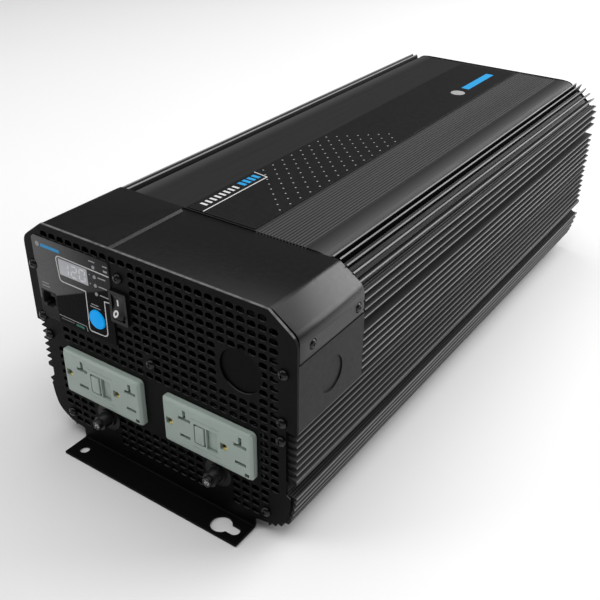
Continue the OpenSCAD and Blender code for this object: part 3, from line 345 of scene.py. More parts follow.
# painted shade: near-black walls inside the outlet's holes
M["outlet_hollow"] = material("outlet_hole_painted_shade", (0.0035, 0.004, 0.004), rough=0.6, spec=0.05, var=0.1, var_scale=160, bump=0.1)
M["clip_brass"] = material("brass_clip", (0.95, 0.74, 0.22), rough=0.4, metal=0.2, var=0.1, var_scale=250, rough_var=0.05, bump=0.1)
M["rocker_plastic"] = material("rocker_moulding", (0.020, 0.020, 0.021), rough=0.42, spec=0.22, var=0.12, var_scale=160, bump=0.25,
                               bump_scale=2400, bump_dist=0.00003)
M["bezel_plastic"] = material("bezel_moulding", (0.0045, 0.0045, 0.005), rough=0.38, spec=0.25, var=0.12, var_scale=160, bump=0.25,
                              bump_scale=2400, bump_dist=0.00003)
M["jack_plastic"] = material("jack_moulding", (0.022, 0.022, 0.023), rough=0.45, spec=0.12, var=0.1, var_scale=160, bump=0.25,
                             bump_scale=2400, bump_dist=0.00003)
M["breaker_plastic"] = material("breaker_moulding", (0.006, 0.006, 0.0062), rough=0.4, spec=0.3, var=0.1, var_scale=160, bump=0.25,
                                bump_scale=2400, bump_dist=0.00003)
M["anodised"] = layered_material("anodised_extrusion", anodised, 0.5, 0.10, 0.06, bump=0.3, bump_scale=2600, stretch=(1, 0.03, 1))
M["panel"] = layered_material("panel_powder_coat", panel, 0.5, 0.07, 0.05, bump=0.35, bump_scale=1800, bump_dist=0.00004)

# ------------------------------------------------------------------ mesh helpers
def new_object(name, bm, mat, body=HOUSE, stands_for=(), smooth=32, more=()):
    me = bpy.data.meshes.new(name)
    bmesh.ops.recalc_face_normals(bm, faces=bm.faces[:])
    bm.to_mesh(me)
    bm.free()
    o = bpy.data.objects.new(name, me)
    bpy.context.scene.collection.objects.link(o)
    me.materials.append(M[mat])
    for k in more:
        me.materials.append(M[k])
    shade(o, smooth)
    if body is not None:
        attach(o, body)
    if stands_for:
        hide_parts(*stands_for)
    return o


def shade(o, angle):
    me = o.data
    for p in me.polygons:
        p.use_smooth = True
    me.set_sharp_from_angle(angle=math.radians(angle))


def rrect(w, h, r, n=6):
    """Outline of a rounded rectangle about the origin, counter-clockwise."""
    r = max(0.02, min(r, w / 2 - 0.01, h / 2 - 0.01))
    pts = []
    for cx, cy, a0 in ((w / 2 - r, h / 2 - r, 0), (-w / 2 + r, h / 2 - r, 90), (-w / 2 + r, -h / 2 + r, 180), (w / 2 - r, -h / 2 + r, 270)):
        for i in range(n + 1):
            a = math.radians(a0 + 90 * i / n)
            pts.append((cx + r * math.cos(a), cy + r * math.sin(a)))
    return pts


def loops_to_mesh(bm, loops, close_start=True, close_end=True, mat=0):
    """Skin a list of equal-length closed loops of 3-D points."""
    rows = [[bm.verts.new(p) for p in loop] for loop in loops]
    n = len(rows[0])
    for a, b in zip(rows, rows[1:]):
        for i in range(n):
            f = bm.faces.new((a[i], a[(i + 1) % n], b[(i + 1) % n], b[i]))
            f.material_index = mat
    if close_start:
        bm.faces.new(rows[0][::-1]).material_index = mat
    if close_end:
        bm.faces.new(rows[-1]).material_index = mat
    return rows


def slab(bm, cx, cz, w, h, r, back, front, bevel=0.5, seg=4, mat=0, back_bevel=0.0, n=6, tilt=None):
    """Rounded rectangular block facing -Y, with a rolled front edge. front < back."""
    loops = []

    def ring(inset, y):
        out = []
        for x, z in rrect(w - 2 * inset, h - 2 * inset, r - inset, n):
            yy = y
            if tilt is not None:
                yy = y + tilt * x
            out.append(P(cx + x, yy, cz + z))
        return out
    if back_bevel:
        loops.append(ring(back_bevel, back))
        loops.append(ring(0, back - back_bevel))
    else:
        loops.append(ring(0, back))
    for k in range(seg + 1):
        a = math.pi / 2 * k / seg
        loops.append(ring(bevel * (1 - math.cos(a)), front + bevel * (1 - math.sin(a))))
    loops_to_mesh(bm, loops, mat=mat)


def lathe(bm, profile, origin, direction="-y", seg=48, mat=0, phase=0.0):
    """Turn profile points (radius, height) about an axis through origin (mm, local). Height runs along direction."""
    ox, oy, oz = origin
    rows = []
    for r, h in profile:
        if r < 1e-6:
            pts = [(0.0, 0.0)]
        else:
            pts = [(r * math.cos(2 * math.pi * i / seg + phase), r * math.sin(2 * math.pi * i / seg + phase)) for i in range(seg)]
        row = []
        for u, v in pts:
            if direction == "-y":
                row.append(bm.verts.new(P(ox + u, oy - h, oz + v)))
            elif direction == "+y":
                row.append(bm.verts.new(P(ox + u, oy + h, oz + v)))
            elif direction == "+x":
                row.append(bm.verts.new(P(ox + h, oy + u, oz + v)))
            elif direction == "+z":
                row.append(bm.verts.new(P(ox + u, oy + v, oz + h)))
        rows.append(row)
    for a, b in zip(rows, rows[1:]):
        if len(a) == 1 and len(b) == 1:
            continue
        for i in range(seg):
            j = (i + 1) % seg
            if len(a) == 1:
                f = bm.faces.new((a[0], b[j], b[i]))
            elif len(b) == 1:
                f = bm.faces.new((a[i], a[j], b[0]))
            else:
                f = bm.faces.new((a[i], a[j], b[j], b[i]))
            f.material_index = mat
    for row, rev in ((rows[0], True), (rows[-1], False)):
        if len(row) > 1:
            bm.faces.new(row[::-1] if rev else row).material_index = mat


def evaluated(o):
    dg = bpy.context.evaluated_depsgraph_get()
    me = bpy.data.meshes.new_from_object(o.evaluated_get(dg))
    o.modifiers.clear()
    old = o.data
    o.data = me
    bpy.data.meshes.remove(old)


def temp(bm, name="cutter"):
    me = bpy.data.meshes.new(name)
    bmesh.ops.recalc_face_normals(bm, faces=bm.faces[:])
    bm.to_mesh(me)
    bm.free()
    o = bpy.data.objects.new(name, me)
    bpy.context.scene.collection.objects.link(o)
    return o


def boolean(o, cutter, op="DIFFERENCE"):
    md = o.modifiers.new("cut", "BOOLEAN")
    md.operation = op
    md.solver = "EXACT"
    md.object = cutter
    bpy.context.view_layer.update()
    evaluated(o)
    bpy.data.objects.remove(cutter)


def dark(bm):
    """Cutter whose walls take the second material of what it cuts, a near-black painted shade on the walls of the
    holes.
    """
    for f in bm.faces:
        f.material_index = 1
    o = temp(bm)
    o.data.materials.append(M["bezel_plastic"])
    o.data.materials.append(M["bezel_plastic"])
    return o


def prism(bm, outline, y_a, y_b, mat=0):
    """Straight prism of an X, Z outline between two Y positions."""
    loops_to_mesh(bm, [[P(x, y_a, z) for x, z in outline], [P(x, y_b, z) for x, z in outline]], mat=mat)


def ribbon(bm, pts, width, to3d, h0, h1, closed=False, mat=0):
    """Thin raised line along 2-D points."""
    n = len(pts)
    left, right = [], []
    for i in range(n):
        p = Vector(pts[i])
        a = Vector(pts[i - 1]) if (closed or i > 0) else None
        b = Vector(pts[(i + 1) % n]) if (closed or i < n - 1) else None
        d1 = (p - a).normalized() if a is not None else None
        d2 = (b - p).normalized() if b is not None else None
        if d1 is None:
            nrm, k = Vector((-d2.y, d2.x)), 1.0
        elif d2 is None:
            nrm, k = Vector((-d1.y, d1.x)), 1.0
        else:
            t = (d1 + d2)
            t = t.normalized() if t.length > 1e-6 else d2
            nrm = Vector((-t.y, t.x))
            k = 1.0 / max(0.35, nrm.dot(Vector((-d2.y, d2.x))))
        left.append(p + nrm * width / 2 * k)
        right.append(p - nrm * width / 2 * k)
    rows = []
    for i in range(n):
        rows.append([bm.verts.new(to3d(left[i].x, left[i].y, h0)), bm.verts.new(to3d(left[i].x, left[i].y, h1)),
                     bm.verts.new(to3d(right[i].x, right[i].y, h1)), bm.verts.new(to3d(right[i].x, right[i].y, h0))])
    pairs = list(zip(rows, rows[1:])) + ([(rows[-1], rows[0])] if closed else [])
    for a, b in pairs:
        for k in range(4):
            bm.faces.new((a[k], a[(k + 1) % 4], b[(k + 1) % 4], b[k])).material_index = mat
    if not closed:
        bm.faces.new(rows[0][::-1]).material_index = mat
        bm.faces.new(rows[-1]).material_index = mat


def front3d(face_y):
    return lambda x, z, h: P(x, face_y - h, z)


def top3d(face_z):
    return lambda x, y, h: P(x, y, face_z + h)


def patch(bm, pts, to3d, h0, h1, mat=0):
    loops_to_mesh(bm, [[to3d(x, y, h0) for x, y in pts], [to3d(x, y, h1) for x, y in pts]], mat=mat)


def disc(bm, cx, cy, r, to3d, h0, h1, seg=16, mat=0):
    patch(bm, [(cx + r * math.cos(2 * math.pi * i / seg), cy + r * math.sin(2 * math.pi * i / seg)) for i in range(seg)], to3d, h0, h1, mat)


def bar(bm, a, b, width, to3d, h0, h1, mat=0):
    ribbon(bm, [a, b], width, to3d, h0, h1, mat=mat)


SEG7 = {"0": "abcdef", "1": "bc", "2": "abged", "3": "abgcd", "4": "fgbc", "5": "afgcd", "6": "afgedc", "7": "abc", "8": "abcdefg", "9": "abcdfg"}


def digits(bm, text, x, z, w, h, stroke, to3d, h0, h1, gap, mat=0, slant=0.0):
    for ch in text:
        if ch in SEG7:
            s = {"a": ((0, h), (w, h)), "b": ((w, h), (w, h / 2)), "c": ((w, h / 2), (w, 0)), "d": ((0, 0), (w, 0)),
                 "e": ((0, 0), (0, h / 2)), "f": ((0, h / 2), (0, h)), "g": ((0, h / 2), (w, h / 2))}
            for k in SEG7[ch]:
                (ax, az), (bx, bz) = s[k]
                d = Vector((bx - ax, bz - az)).normalized() * stroke * 0.62
                bar(bm, (x + ax + d.x + slant * az, z + az + d.y), (x + bx - d.x + slant * bz, z + bz - d.y), stroke, to3d, h0, h1, mat)
        x += w + gap


# ------------------------------------------------------------------ camera, floor, lights
def camera():
    az, el, roll = math.radians(34.37), math.radians(31.06), math.radians(0.48)
    back = Vector((math.sin(az) * math.cos(el), -math.cos(az) * math.cos(el), math.sin(el)))
    right = Vector((0, 0, 1)).cross(back).normalized()
    up = back.cross(right)
    cx = right * math.cos(roll) + up * math.sin(roll)
    cy = -right * math.sin(roll) + up * math.cos(roll)
    rot = Matrix((cx, cy, back)).transposed().to_4x4()
    cam = bpy.data.cameras.new("camera")
    cam.lens = 51.43
    cam.sensor_width = 36.0
    cam.clip_start, cam.clip_end = 0.01, 100
    o = bpy.data.objects.new("camera", cam)
    o.matrix_world = Matrix.Translation((0.301198, -0.526501, 0.381506)) @ rot
    bpy.context.scene.collection.objects.link(o)
    bpy.context.scene.camera = o


camera()
bpy.context.scene.view_settings.view_transform = "Standard"
bpy.context.scene.view_settings.look = "None"


def area(name, where, target, size, energy, color=(1, 1, 1), size_y=None):
    l = bpy.data.lights.new(name, "AREA")
    l.energy = energy
    l.color = color
    l.size = size
    if size_y:
        l.shape = "RECTANGLE"
        l.size_y = size_y
    o = bpy.data.objects.new(name, l)
    o.location = where
    o.rotation_mode = "QUATERNION"
    o.rotation_quaternion = (Vector(target) - Vector(where)).to_track_quat("-Z", "Y")
    bpy.context.scene.collection.objects.link(o)
    return o


area("overhead", (0.0, -0.1, 2.2), (0, 0, 0), 2.6, 50)
area("rim_right", (1.05, 1.70, 1.15), (0.1, 0.0, 0.12), 2.1, 54, size_y=1.6)
area("key_left", (-1.5, -1.5, 1.3), (0, -0.2, 0.08), 1.0, 9)

world = bpy.data.worlds.new("studio")
world.use_nodes = True
world.node_tree.nodes["Background"].inputs["Color"].default_value = (1, 1, 1, 1)
world.node_tree.nodes["Background"].inputs["Strength"].default_value = 0.10
bpy.context.scene.world = world

bm = bmesh.new()
bmesh.ops.create_grid(bm, x_segments=2, y_segments=2, size=9.0)
me = bpy.data.meshes.new("floor")
bm.to_mesh(me)
bm.free()
floor = bpy.data.objects.new("floor", me)
floor.location.z = -0.0004
bpy.context.scene.collection.objects.link(floor)
fm = material("pale_floor", (0.82, 0.82, 0.82), rough=0.75, spec=0.1, var=0.005, var_scale=2, bump=0.0)
me.materials.append(fm)

# ------------------------------------------------------------------ CAD nodes that stay
SLOT_OF = {s["node"]: s.get("material_slot") for s in frame["record"]["subparts"]}
LOOK = {"extrusion_black": "anodised", "panel_black": "panel", "cover_black": "cover", "label_black": "label", "zinc_steel": "zinc",
        "black_screw": "black_screw", "overlay_gloss": "overlay", "window_smoke": "window", "digit_white": "segment",
        "black_plastic": "black_plastic", "gloss_black": "gloss_black", "lens_clear": "lens", "pcb_green": "pcb", "button_blue": "blue",
        "outlet_grey": "outlet", "outlet_back": "outlet_back", "brass": "brass", "copper": "copper", "red_plastic": "red",
        "ferrite": "ferrite", "winding": "winding", "cap_sleeve": "cap", "epoxy_black": "epoxy", "aluminium_bar": "alu",
        "choke_wire": "choke", "ivory_plastic": "ivory"}
# painted shade: the compartment bulkhead and the AC terminal block take the near-black bezel moulding, so the inside
# seen through the vents stays dark
OWN = {"right_side_plate": "side_plate", "compartment_bulkhead": "bezel_plastic", "ac_terminal_block": "bezel_plastic",
       "rocker_housing": "bezel_plastic", "breaker_bodies": "breaker_plastic", "breaker_nuts": "bezel_plastic"}
for name, o in nodes.items():
    mat = M[OWN.get(name, LOOK[SLOT_OF[name]])]
    if not o.material_slots:
        o.data.materials.append(mat)
    for s in o.material_slots:
        s.material = mat


def soften(name, width, segments=2, angle=34):
    """Rolled edges on a carried-over node, as modifiers only."""
    o = nodes[name]
    w = o.modifiers.new("weld", "WELD")
    w.merge_threshold = 0.000004
    b = o.modifiers.new("edges", "BEVEL")
    b.width = width / 1000.0
    b.segments = segments
    b.limit_method = "ANGLE"
    b.angle_limit = math.radians(angle)
    b.harden_normals = True
    b.miter_outer = "MITER_ARC"


for name, w in (("right_side_plate", 0.25), ("top_label", 0.25), ("rear_panel", 0.2), ("front_panel", 0.2), ("rocker_housing", 0.35),
                ("lower_extrusion", 0.12), ("upper_extrusion", 0.12), ("breaker_bodies", 0.4), ("breaker_nuts", 0.2),
                ("fan_guards", 0.25), ("positive_terminal_block", 0.8), ("negative_terminal_block", 0.8), ("ac_terminal_block", 0.3),
                ("fan_left_frame", 0.5), ("fan_right_frame", 0.5), ("stud_nuts", 0.4), ("ground_stud", 0.3)):
    soften(name, w)

# ------------------------------------------------------------------ outlets
OUT_Z = 57.3
GROUNDS = (-27.9, 13.3)
TB, TBS = (-4.6, -0.2), (6.6, 12.2)
RB, RBS = (4.4, -0.4), (7.0, 14.0)


def chamfered(bm, cx, cz, w, h, r, back, front, c, roll=0.12, n=8, mat=0):
    """Rounded rectangular block facing -Y with a flat 45 degree chamfer round its front."""
    loops = [[P(cx + x, y, cz + z) for x, z in rrect(w - 2 * i, h - 2 * i, r - i * 0.6, n)]
             for i, y in ((0, back), (0, front + c + roll), (roll * 0.4, front + c - roll * 0.5), (c - roll, front + roll * 0.45), (c, front))]
    loops_to_mesh(bm, loops, mat=mat)


def outlet(side, cx):
    bm = bmesh.new()
    chamfered(bm, cx, OUT_Z, 66.8, 33.3, 2.4, 4.0, -4.6, 1.7)
    face = temp(bm, "outlet_%s_shell" % side)
    face.data.materials.append(M["outlet"])
    face.data.materials.append(M["outlet_hollow"])
    bm = bmesh.new()
    slab(bm, cx, OUT_Z, 71.8, 37.3, 2.0, 4.0, 1.75, bevel=0.3, seg=2)
    boolean(face, temp(bm), "UNION")
    bm = bmesh.new()
    for c in GROUNDS:
        gx, gz = cx + c, OUT_Z + 0.2
        pts = [(gx + 2.75 * math.cos(math.radians(a)), gz + 2.75 * math.sin(math.radians(a))) for a in range(-62, 63, 6)]
        pts += [(gx - 2.4, gz + 2.45), (gx - 2.75, gz + 2.1), (gx - 2.75, gz - 2.1), (gx - 2.4, gz - 2.45)]
        prism(bm, pts, -8, 8)
        bx = cx + c + 11.9
        slab(bm, bx, OUT_Z - 6.35, 8.0, 2.3, 0.3, 8, -8, bevel=0.01, seg=1, n=3)
        zc = OUT_Z + 6.35
        t = [(bx - 4.6, zc - 1.15), (bx + 4.6, zc - 1.15), (bx + 4.6, zc + 1.15), (bx + 1.15, zc + 1.15), (bx + 1.15, zc + 6.4),
             (bx - 1.15, zc + 6.4), (bx - 1.15, zc + 1.15), (bx - 4.6, zc + 1.15)]
        prism(bm, t, -8, 8)
    slab(bm, cx + TB[0], OUT_Z + TB[1], TBS[0] + 2.0, TBS[1] + 2.0, 0.6, 8, -8, bevel=0.01, seg=1, n=3)
    boolean(face, dark(bm))
    bm = bmesh.new()
    slab(bm, cx + RB[0], OUT_Z + RB[1], RBS[0] + 1.0, RBS[1] + 1.0, 0.6, 8, -8, bevel=0.01, seg=1, n=3)
    slab(bm, cx + 29.7, OUT_Z - 13, 3.2, 2.5, 0.3, -3.4, -8, bevel=0.01, seg=1, n=3)
    boolean(face, temp(bm))
    # shallow lines of the moulding round the buttons, worn to nothing at the face's edge
    bm = bmesh.new()
    for x0, x1, z in ((-10.6, 10.4, -10.2), (-10.6, 10.4, 10.0)):
        slab(bm, cx + (x0 + x1) / 2, OUT_Z + z, x1 - x0, 0.45, 0.1, -4.42, -8, bevel=0.01, seg=1, n=2)
    boolean(face, temp(bm))
    face.name = "outlet_%s_front" % side
    face.data.materials.clear()
    face.data.materials.append(M["outlet"])
    face.data.materials.append(M["outlet_hollow"])
    shade(face, 30)
    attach(face, HOUSE)
    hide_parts("outlet_%s_face" % side)
    # buttons: test stands proud, reset is sunk
    bm = bmesh.new()
    chamfered(bm, cx + TB[0], OUT_Z + TB[1], TBS[0], TBS[1], 0.6, 8, -5.2, 0.35, n=4)
    new_object("outlet_%s_test_cap" % side, bm, "outlet", "outlet_%s_test" % side, ["outlet_%s_test_button" % side])
    bm = bmesh.new()
    chamfered(bm, cx + RB[0], OUT_Z + RB[1], RBS[0], RBS[1], 0.6, 8, -3.0, 0.35, n=4)
    new_object("outlet_%s_reset_cap" % side, bm, "outlet", "outlet_%s_reset" % side, ["outlet_%s_reset_button" % side])
    # painted shade: dark seats fill the gaps round the buttons; and the bright ground contacts just inside their holes
    bm = bmesh.new()
    for c, size in ((TB, TBS), (RB, RBS)):
        a = [(cx + c[0] + x, OUT_Z + c[1] + z) for x, z in rrect(size[0] + 1.9, size[1] + 1.9, 0.5, 3)]
        b = [(cx + c[0] + x, OUT_Z + c[1] + z) for x, z in rrect(size[0] + 0.25, size[1] + 0.25, 0.5, 3)]
        lo = -2.2 if c is RB else -3.6
        loops = [[P(x, 4.5, z) for x, z in a], [P(x, lo + 0.0, z) for x, z in a], [P(x, lo, z) for x, z in b], [P(x, 4.5, z) for x, z in b]]
        rows = [[bm.verts.new(q) for q in loop] for loop in loops]
        m = len(rows[0])
        for r0, r1 in ((0, 1), (1, 2), (2, 3), (3, 0)):
            for q in range(m):
                bm.faces.new((rows[r0][q], rows[r0][(q + 1) % m], rows[r1][(q + 1) % m], rows[r1][q]))
    new_object("outlet_%s_button_gap_shade" % side, bm, "bezel_plastic")
    bm = bmesh.new()
    for c in GROUNDS:
        gx, gz = cx + c, OUT_Z + 0.2
        arc = [(math.cos(math.radians(a)), math.sin(math.radians(a))) for a in range(-112, 21, 12)]
        pts = [(gx + 2.7 * u, gz + 2.7 * v) for u, v in arc] + [(gx + 1.55 * u, gz + 1.55 * v) for u, v in arc[::-1]]
        prism(bm, pts, 3.0, -3.7)
    new_object("outlet_%s_ground_clips" % side, bm, "clip_brass", smooth=40)
    bm = bmesh.new()
    chamfered(bm, cx + 29.7, OUT_Z - 13, 3.0, 2.3, 0.3, -3.3, -4.5, 0.2, n=4)
    return bm


lens_parts = [outlet("left", -43.9), outlet("right", 41.0)]
me = bpy.data.meshes.new("part")
lens_parts[1].to_mesh(me)
lens_parts[1].free()
lens_parts[0].from_mesh(me)
bpy.data.meshes.remove(me)
new_object("outlet_lamp_lenses", lens_parts[0], "gloss_black", HOUSE, ["outlet_indicator_lenses"])

# ------------------------------------------------------------------ power button
bm = bmesh.new()
lathe(bm, [(0, -3.9), (1.9, -3.9), (1.9, -2.2), (6.4, -2.2), (6.4, -0.2), (6.4, 0.9), (6.33, 1.25), (6.1, 1.55), (5.75, 1.72), (5.45, 1.74), (5.2, 1.62),
           (4.95, 1.6), (4.0, 1.78), (2.5, 1.98), (1.2, 2.06), (0, 2.08)], (-43.2, 0, 105.9), seg=64)
new_object("power_button_cap", bm, "blue", "power_button", ["power_button"], smooth=40)

# ------------------------------------------------------------------ sheet covers
def bent(points, radii, t, seg=8):
    """Outline of a bent sheet: outer path with arcs at its corners, and the same path t further in."""
    outer, inner = [], []
    n = len(points)
    for i in range(n):
        p = Vector(points[i])
        if i in (0, n - 1):
            d = (Vector(points[1]) - p).normalized() if i == 0 else (p - Vector(points[i - 1])).normalized()
            nv = Vector((d.y, -d.x))
            outer.append(p)
            inner.append(p + nv * t)
            continue
        a, b = (p - Vector(points[i - 1])).normalized(), (Vector(points[i + 1]) - p).normalized()
        na, nb = Vector((a.y, -a.x)), Vector((b.y, -b.x))
        half = math.acos(max(-1, min(1, a.dot(b)))) / 2
        r = radii[i]
        start = p - a * r * math.tan(half)
        c = start + na * r
        for k in range(seg + 1):
            nv = (na * (1 - k / seg) + nb * (k / seg)).normalized()
            outer.append(c - nv * r)
            inner.append(c - nv * (r - t))
    return outer, inner


def cover(name, outer, inner, ya, yb, first_edge=None):
    """Sheet standing between two Y positions with slightly rolled rims at both ends."""
    ring = [(p.x, p.y) for p in outer] + [(p.x, p.y) for p in inner[::-1]]
    mid = [((a.x + b.x) / 2, (a.y + b.y) / 2) for a, b in zip(outer, inner)]
    mid = mid + mid[::-1]

    def pull(k):
        return [(x + (mx - x) * k, z + (mz - z) * k) for (x, z), (mx, mz) in zip(ring, mid)]
    bm = bmesh.new()
    rows = loops_to_mesh(bm, [[P(x, y, z) for x, z in pull(k)] for y, k in ((ya, 0.35), (ya + 0.12, 0.1), (ya + 0.3, 0.0), (yb - 0.3, 0.0),
                                                                            (yb - 0.12, 0.1), (yb, 0.35))])
    if first_edge is not None:
        bm.faces.ensure_lookup_table()
        n = len(ring)
        for a, b in zip(rows, rows[1:]):
            for f in a[n - 1].link_faces:
                if a[0] in f.verts and b[0] in f.verts and a[n - 1] in f.verts:
                    f.material_index = first_edge
    return temp(bm, name)


def finish(o, mat, stands_for, more=(), smooth=32):
    o.data.materials.clear()
    for k in (mat, *more):
        o.data.materials.append(M[k])
    shade(o, smooth)
    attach(o, HOUSE)
    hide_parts(*stands_for)


outer, inner = bent([(-38, 156.8), (83.6, 156.8), (100.8, 144.9), (100.8, 128.8)], {1: 6.0, 2: 8.0}, 1.2)
o = cover("cover_right_sheet", outer, inner, 3.6, 66.6)
bm = bmesh.new()
for y, z in ((15.5, 135.4), (60.5, 134.6)):
    lathe(bm, [(3.2, -4), (3.2, 6)], (98.5, y, z), "+x", seg=40)
boolean(o, temp(bm))
finish(o, "cover", ["right_cover"])

outer, inner = bent([(29.2, 158.0), (83.6, 158.0), (100.8, 146.1), (100.8, 85.4)], {1: 6.0, 2: 8.0}, 1.2)
inner[0] = Vector((27.6, 156.8))
outer = [Vector((-q.x, q.y)) for q in outer]
inner = [Vector((-q.x, q.y)) for q in inner]
# the seam's cut edge takes the painted highlight as its second material
o = cover("cover_left_sheet", outer, inner, 1.6, 66.6, first_edge=1)
bm = bmesh.new()
prism(bm, [(-99.9, 86.0), (-85.0, 86.0), (-85.0, 133.0), (-99.9, 133.0)], 1.6, 2.8)
boolean(o, temp(bm), "UNION")
bm = bmesh.new()
prism(bm, [(-92.4, 98.6), (-76.0, 98.6), (-76.0, 112.2), (-92.4, 112.2)], 0.6, 5.6)
for x, z in ((-95.4, 127.6), (-94.6, 90.4)):
    lathe(bm, [(1.85, -1), (1.85, 9)], (x, 0, z), "+y", seg=32)
boolean(o, temp(bm))
bm = bmesh.new()
prism(bm, [(-29.4, 155.8), (-20.0, 155.8), (-20.0, 159.0), (-29.4, 159.0)], 63.6, 68.0)
boolean(o, temp(bm))
finish(o, "cover", ["left_cover"], more=("seam",))

# ------------------------------------------------------------------ control panel
JACK = [(-5.7, -3.5), (-3, -3.5), (-3, -5.4), (3, -5.4), (3, -3.5), (5.7, -3.5), (5.7, 3.5), (2.1, 3.5), (2.1, 5.5), (-4.5, 5.5), (-4.5, 3.5), (-5.7, 3.5)]
bm = bmesh.new()
slab(bm, -61.0, 120.0, 64.8, 57.2, 2.5, 0.0, -0.8, bevel=0.12, seg=2, n=8)
o = temp(bm, "control_panel_film")
bm = bmesh.new()
prism(bm, [(-59.5 + i * 12.4, 133.2 + j * 5.7) for i, j in ((-1, -1), (1, -1), (1, 1), (-1, 1))], -3, 2)
prism(bm, [(-85.2 + i * 6.7, 105.4 + j * 6.3) for i, j in ((-1, -1), (1, -1), (1, 1), (-1, 1))], -3, 2)
lathe(bm, [(6.7, -3), (6.7, 3)], (-43.2, 0, 105.9), "+y", seg=64)
for z in (142.3, 135.9, 130.1, 124.4):
    lathe(bm, [(1.3, -3), (1.3, 3)], (-40.8, 0, z), "+y", seg=24)
for x, z in ((-95.4, 127.6), (-94.6, 90.4)):
    lathe(bm, [(3.6, -3), (3.6, 3)], (x, 0, z), "+y", seg=40)
slab(bm, -22.8, 121.2, 14.2, 22.0, 1.4, 2, -3, bevel=0.01, seg=1, n=6)
boolean(o, temp(bm))
finish(o, "overlay", ["control_overlay"])

bm = bmesh.new()
slab(bm, -85.2, 105.4, 13.2, 12.4, 0.5, 14.0, -0.9, bevel=0.35, seg=3, n=4)
o = temp(bm, "remote_jack_moulding")
bm = bmesh.new()
# painted shade: the walls of the socket take the darker bezel moulding
prism(bm, [(-85.2 + x, 105.4 + z) for x, z in JACK], -3, 10)
o.data.materials.append(M["jack_plastic"])
o.data.materials.append(M["bezel_plastic"])
boolean(o, dark(bm))
finish(o, "jack_plastic", ["remote_jack"], more=("bezel_plastic",))

# rocker lever: concave face, rounded flanks, white marks
TILT = math.radians(-9)


def lever3d(u, y, z):
    return P(-22.8 + u, 4 + y * math.cos(TILT) - z * math.sin(TILT), 121.2 + y * math.sin(TILT) + z * math.cos(TILT))


def lever_face(v):
    return -5.1 - 1.8 * (v / 7.2) ** 2


bm = bmesh.new()
side = [(lever_face(v), v) for v in [-7.2 + 0.6 * i for i in range(25)]] + [(-6.4, 7.5), (-4.4, 7.4), (0.6, 3.2), (2.0, 1.2), (2.0, -1.2), (0.6, -3.2), (-4.4, -7.4), (-6.4, -7.5)]
cy = sum(q[0] for q in side) / len(side)
loops = []
for u, k in ((-4.6, 0.9), (-4.5, 0.955), (-4.25, 1.0), (4.25, 1.0), (4.5, 0.955), (4.6, 0.9)):
    loops.append([lever3d(u, -2.4 + (y + 2.4) * k, z * k) for y, z in side])
loops_to_mesh(bm, loops)


def on_lever(x, z, h):
    return lever3d(x, lever_face(z) - h, z)


ribbon(bm, [(-0.9, 0.3 + 0.8 * i) for i in range(6)], 1.15, on_lever, -0.03, 0.06, mat=1)
ribbon(bm, [(-1.6 + 1.4 * math.cos(2 * math.pi * i / 28), -4.7 + 1.6 * math.sin(2 * math.pi * i / 28)) for i in range(28)], 1.15, on_lever, -0.03, 0.06,
       closed=True, mat=1)
new_object("rocker_lever", bm, "rocker_plastic", "rocker", ["rocker"], smooth=40, more=("ink_mark",))

# breaker buttons with a raised rim and a plain numeral
for side, x in (("left", -45.3), ("right", 45.4)):
    bm = bmesh.new()
    lathe(bm, [(0, -7.5), (3.2, -7.5), (3.2, 11.1), (3.12, 11.45), (2.9, 11.66), (2.65, 11.7), (2.45, 11.6), (2.35, 11.35), (0, 11.3)],
          (x, 0, 30.6), seg=48)
    digits(bm, "20", x - 1.45, 29.4, 1.1, 2.3, 0.42, front3d(-11.3), -0.04, 0.05, 0.75, mat=1)
    new_object("breaker_%s_cap" % side, bm, "gloss_black", "breaker_%s" % side, ["breaker_%s_reset" % side], smooth=38, more=("ink_mark",))

# ------------------------------------------------------------------ prints
bm = bmesh.new()
F = front3d(-0.8)
H0, H1 = -0.02, 0.05
# outline, in white
line = [(-28.9, 139.6), (-70.4, 140.3), (-71.7, 139.9), (-72.7, 139.0), (-73.2, 137.7), (-72.2, 124.9), (-71.6, 123.7), (-70.2, 123.1),
        (-50.4, 123.0), (-51.3, 97.3), (-50.9, 96.0), (-49.7, 95.3), (-38.4, 95.7), (-36.6, 96.6), (-35.5, 98.4), (-35.0, 121.1), (-29.9, 121.7)]
ribbon(bm, line, 0.75, F, H0, H1, mat=0)
# lower thin line with a short drop at its right
ribbon(bm, [(-77.7, 97.2), (-54.3, 97.0), (-53.5, 96.2), (-53.3, 93.4)], 0.5, F, H0, H1, mat=1)
# captions, as plain bars
for (x0, x1, z, w, k) in ((-44.2, -39.4, 145.7, 0.8, 1), (-33.2, -29.4, 145.4, 0.8, 1), (-33.0, -29.8, 142.2, 1.2, 1),
                          (-38.2, -32.0, 136.2, 0.8, 1), (-38.4, -31.6, 130.2, 0.8, 1), (-38.2, -30.8, 124.4, 0.8, 1),
                          (-89.4, -83.6, 116.9, 0.6, 1), (-89.6, -83.2, 114.7, 0.6, 1), (-46.9, -40.6, 115.8, 0.6, 1), (-47.9, -39.4, 114.0, 0.6, 1),
                          (-76.0, -65.0, 95.2, 0.6, 2)):
    bar(bm, (x0, z), (x1, z), w, F, H0, H1, mat=k)
bar(bm, (-63.0, 94.9), (-56.2, 94.8), 1.6, F, H0, H1, mat=3)
# plain two-tone bar at the top left corner
disc(bm, -88.6, 143.6, 1.7, F, H0, H1, seg=24, mat=1)
bar(bm, (-85.6, 143.5), (-69.4, 143.5), 2.2, F, H0, H1, mat=4)
# scale marks beside the lamps
for z in (136.2, 130.2):
    disc(bm, -45.1, z, 0.45, F, H0, H1, mat=1)
new_object("overlay_print", bm, "ink_white", smooth=30, more=("ink_grey", "ink_dim", "ink_green", "ink_blue"))

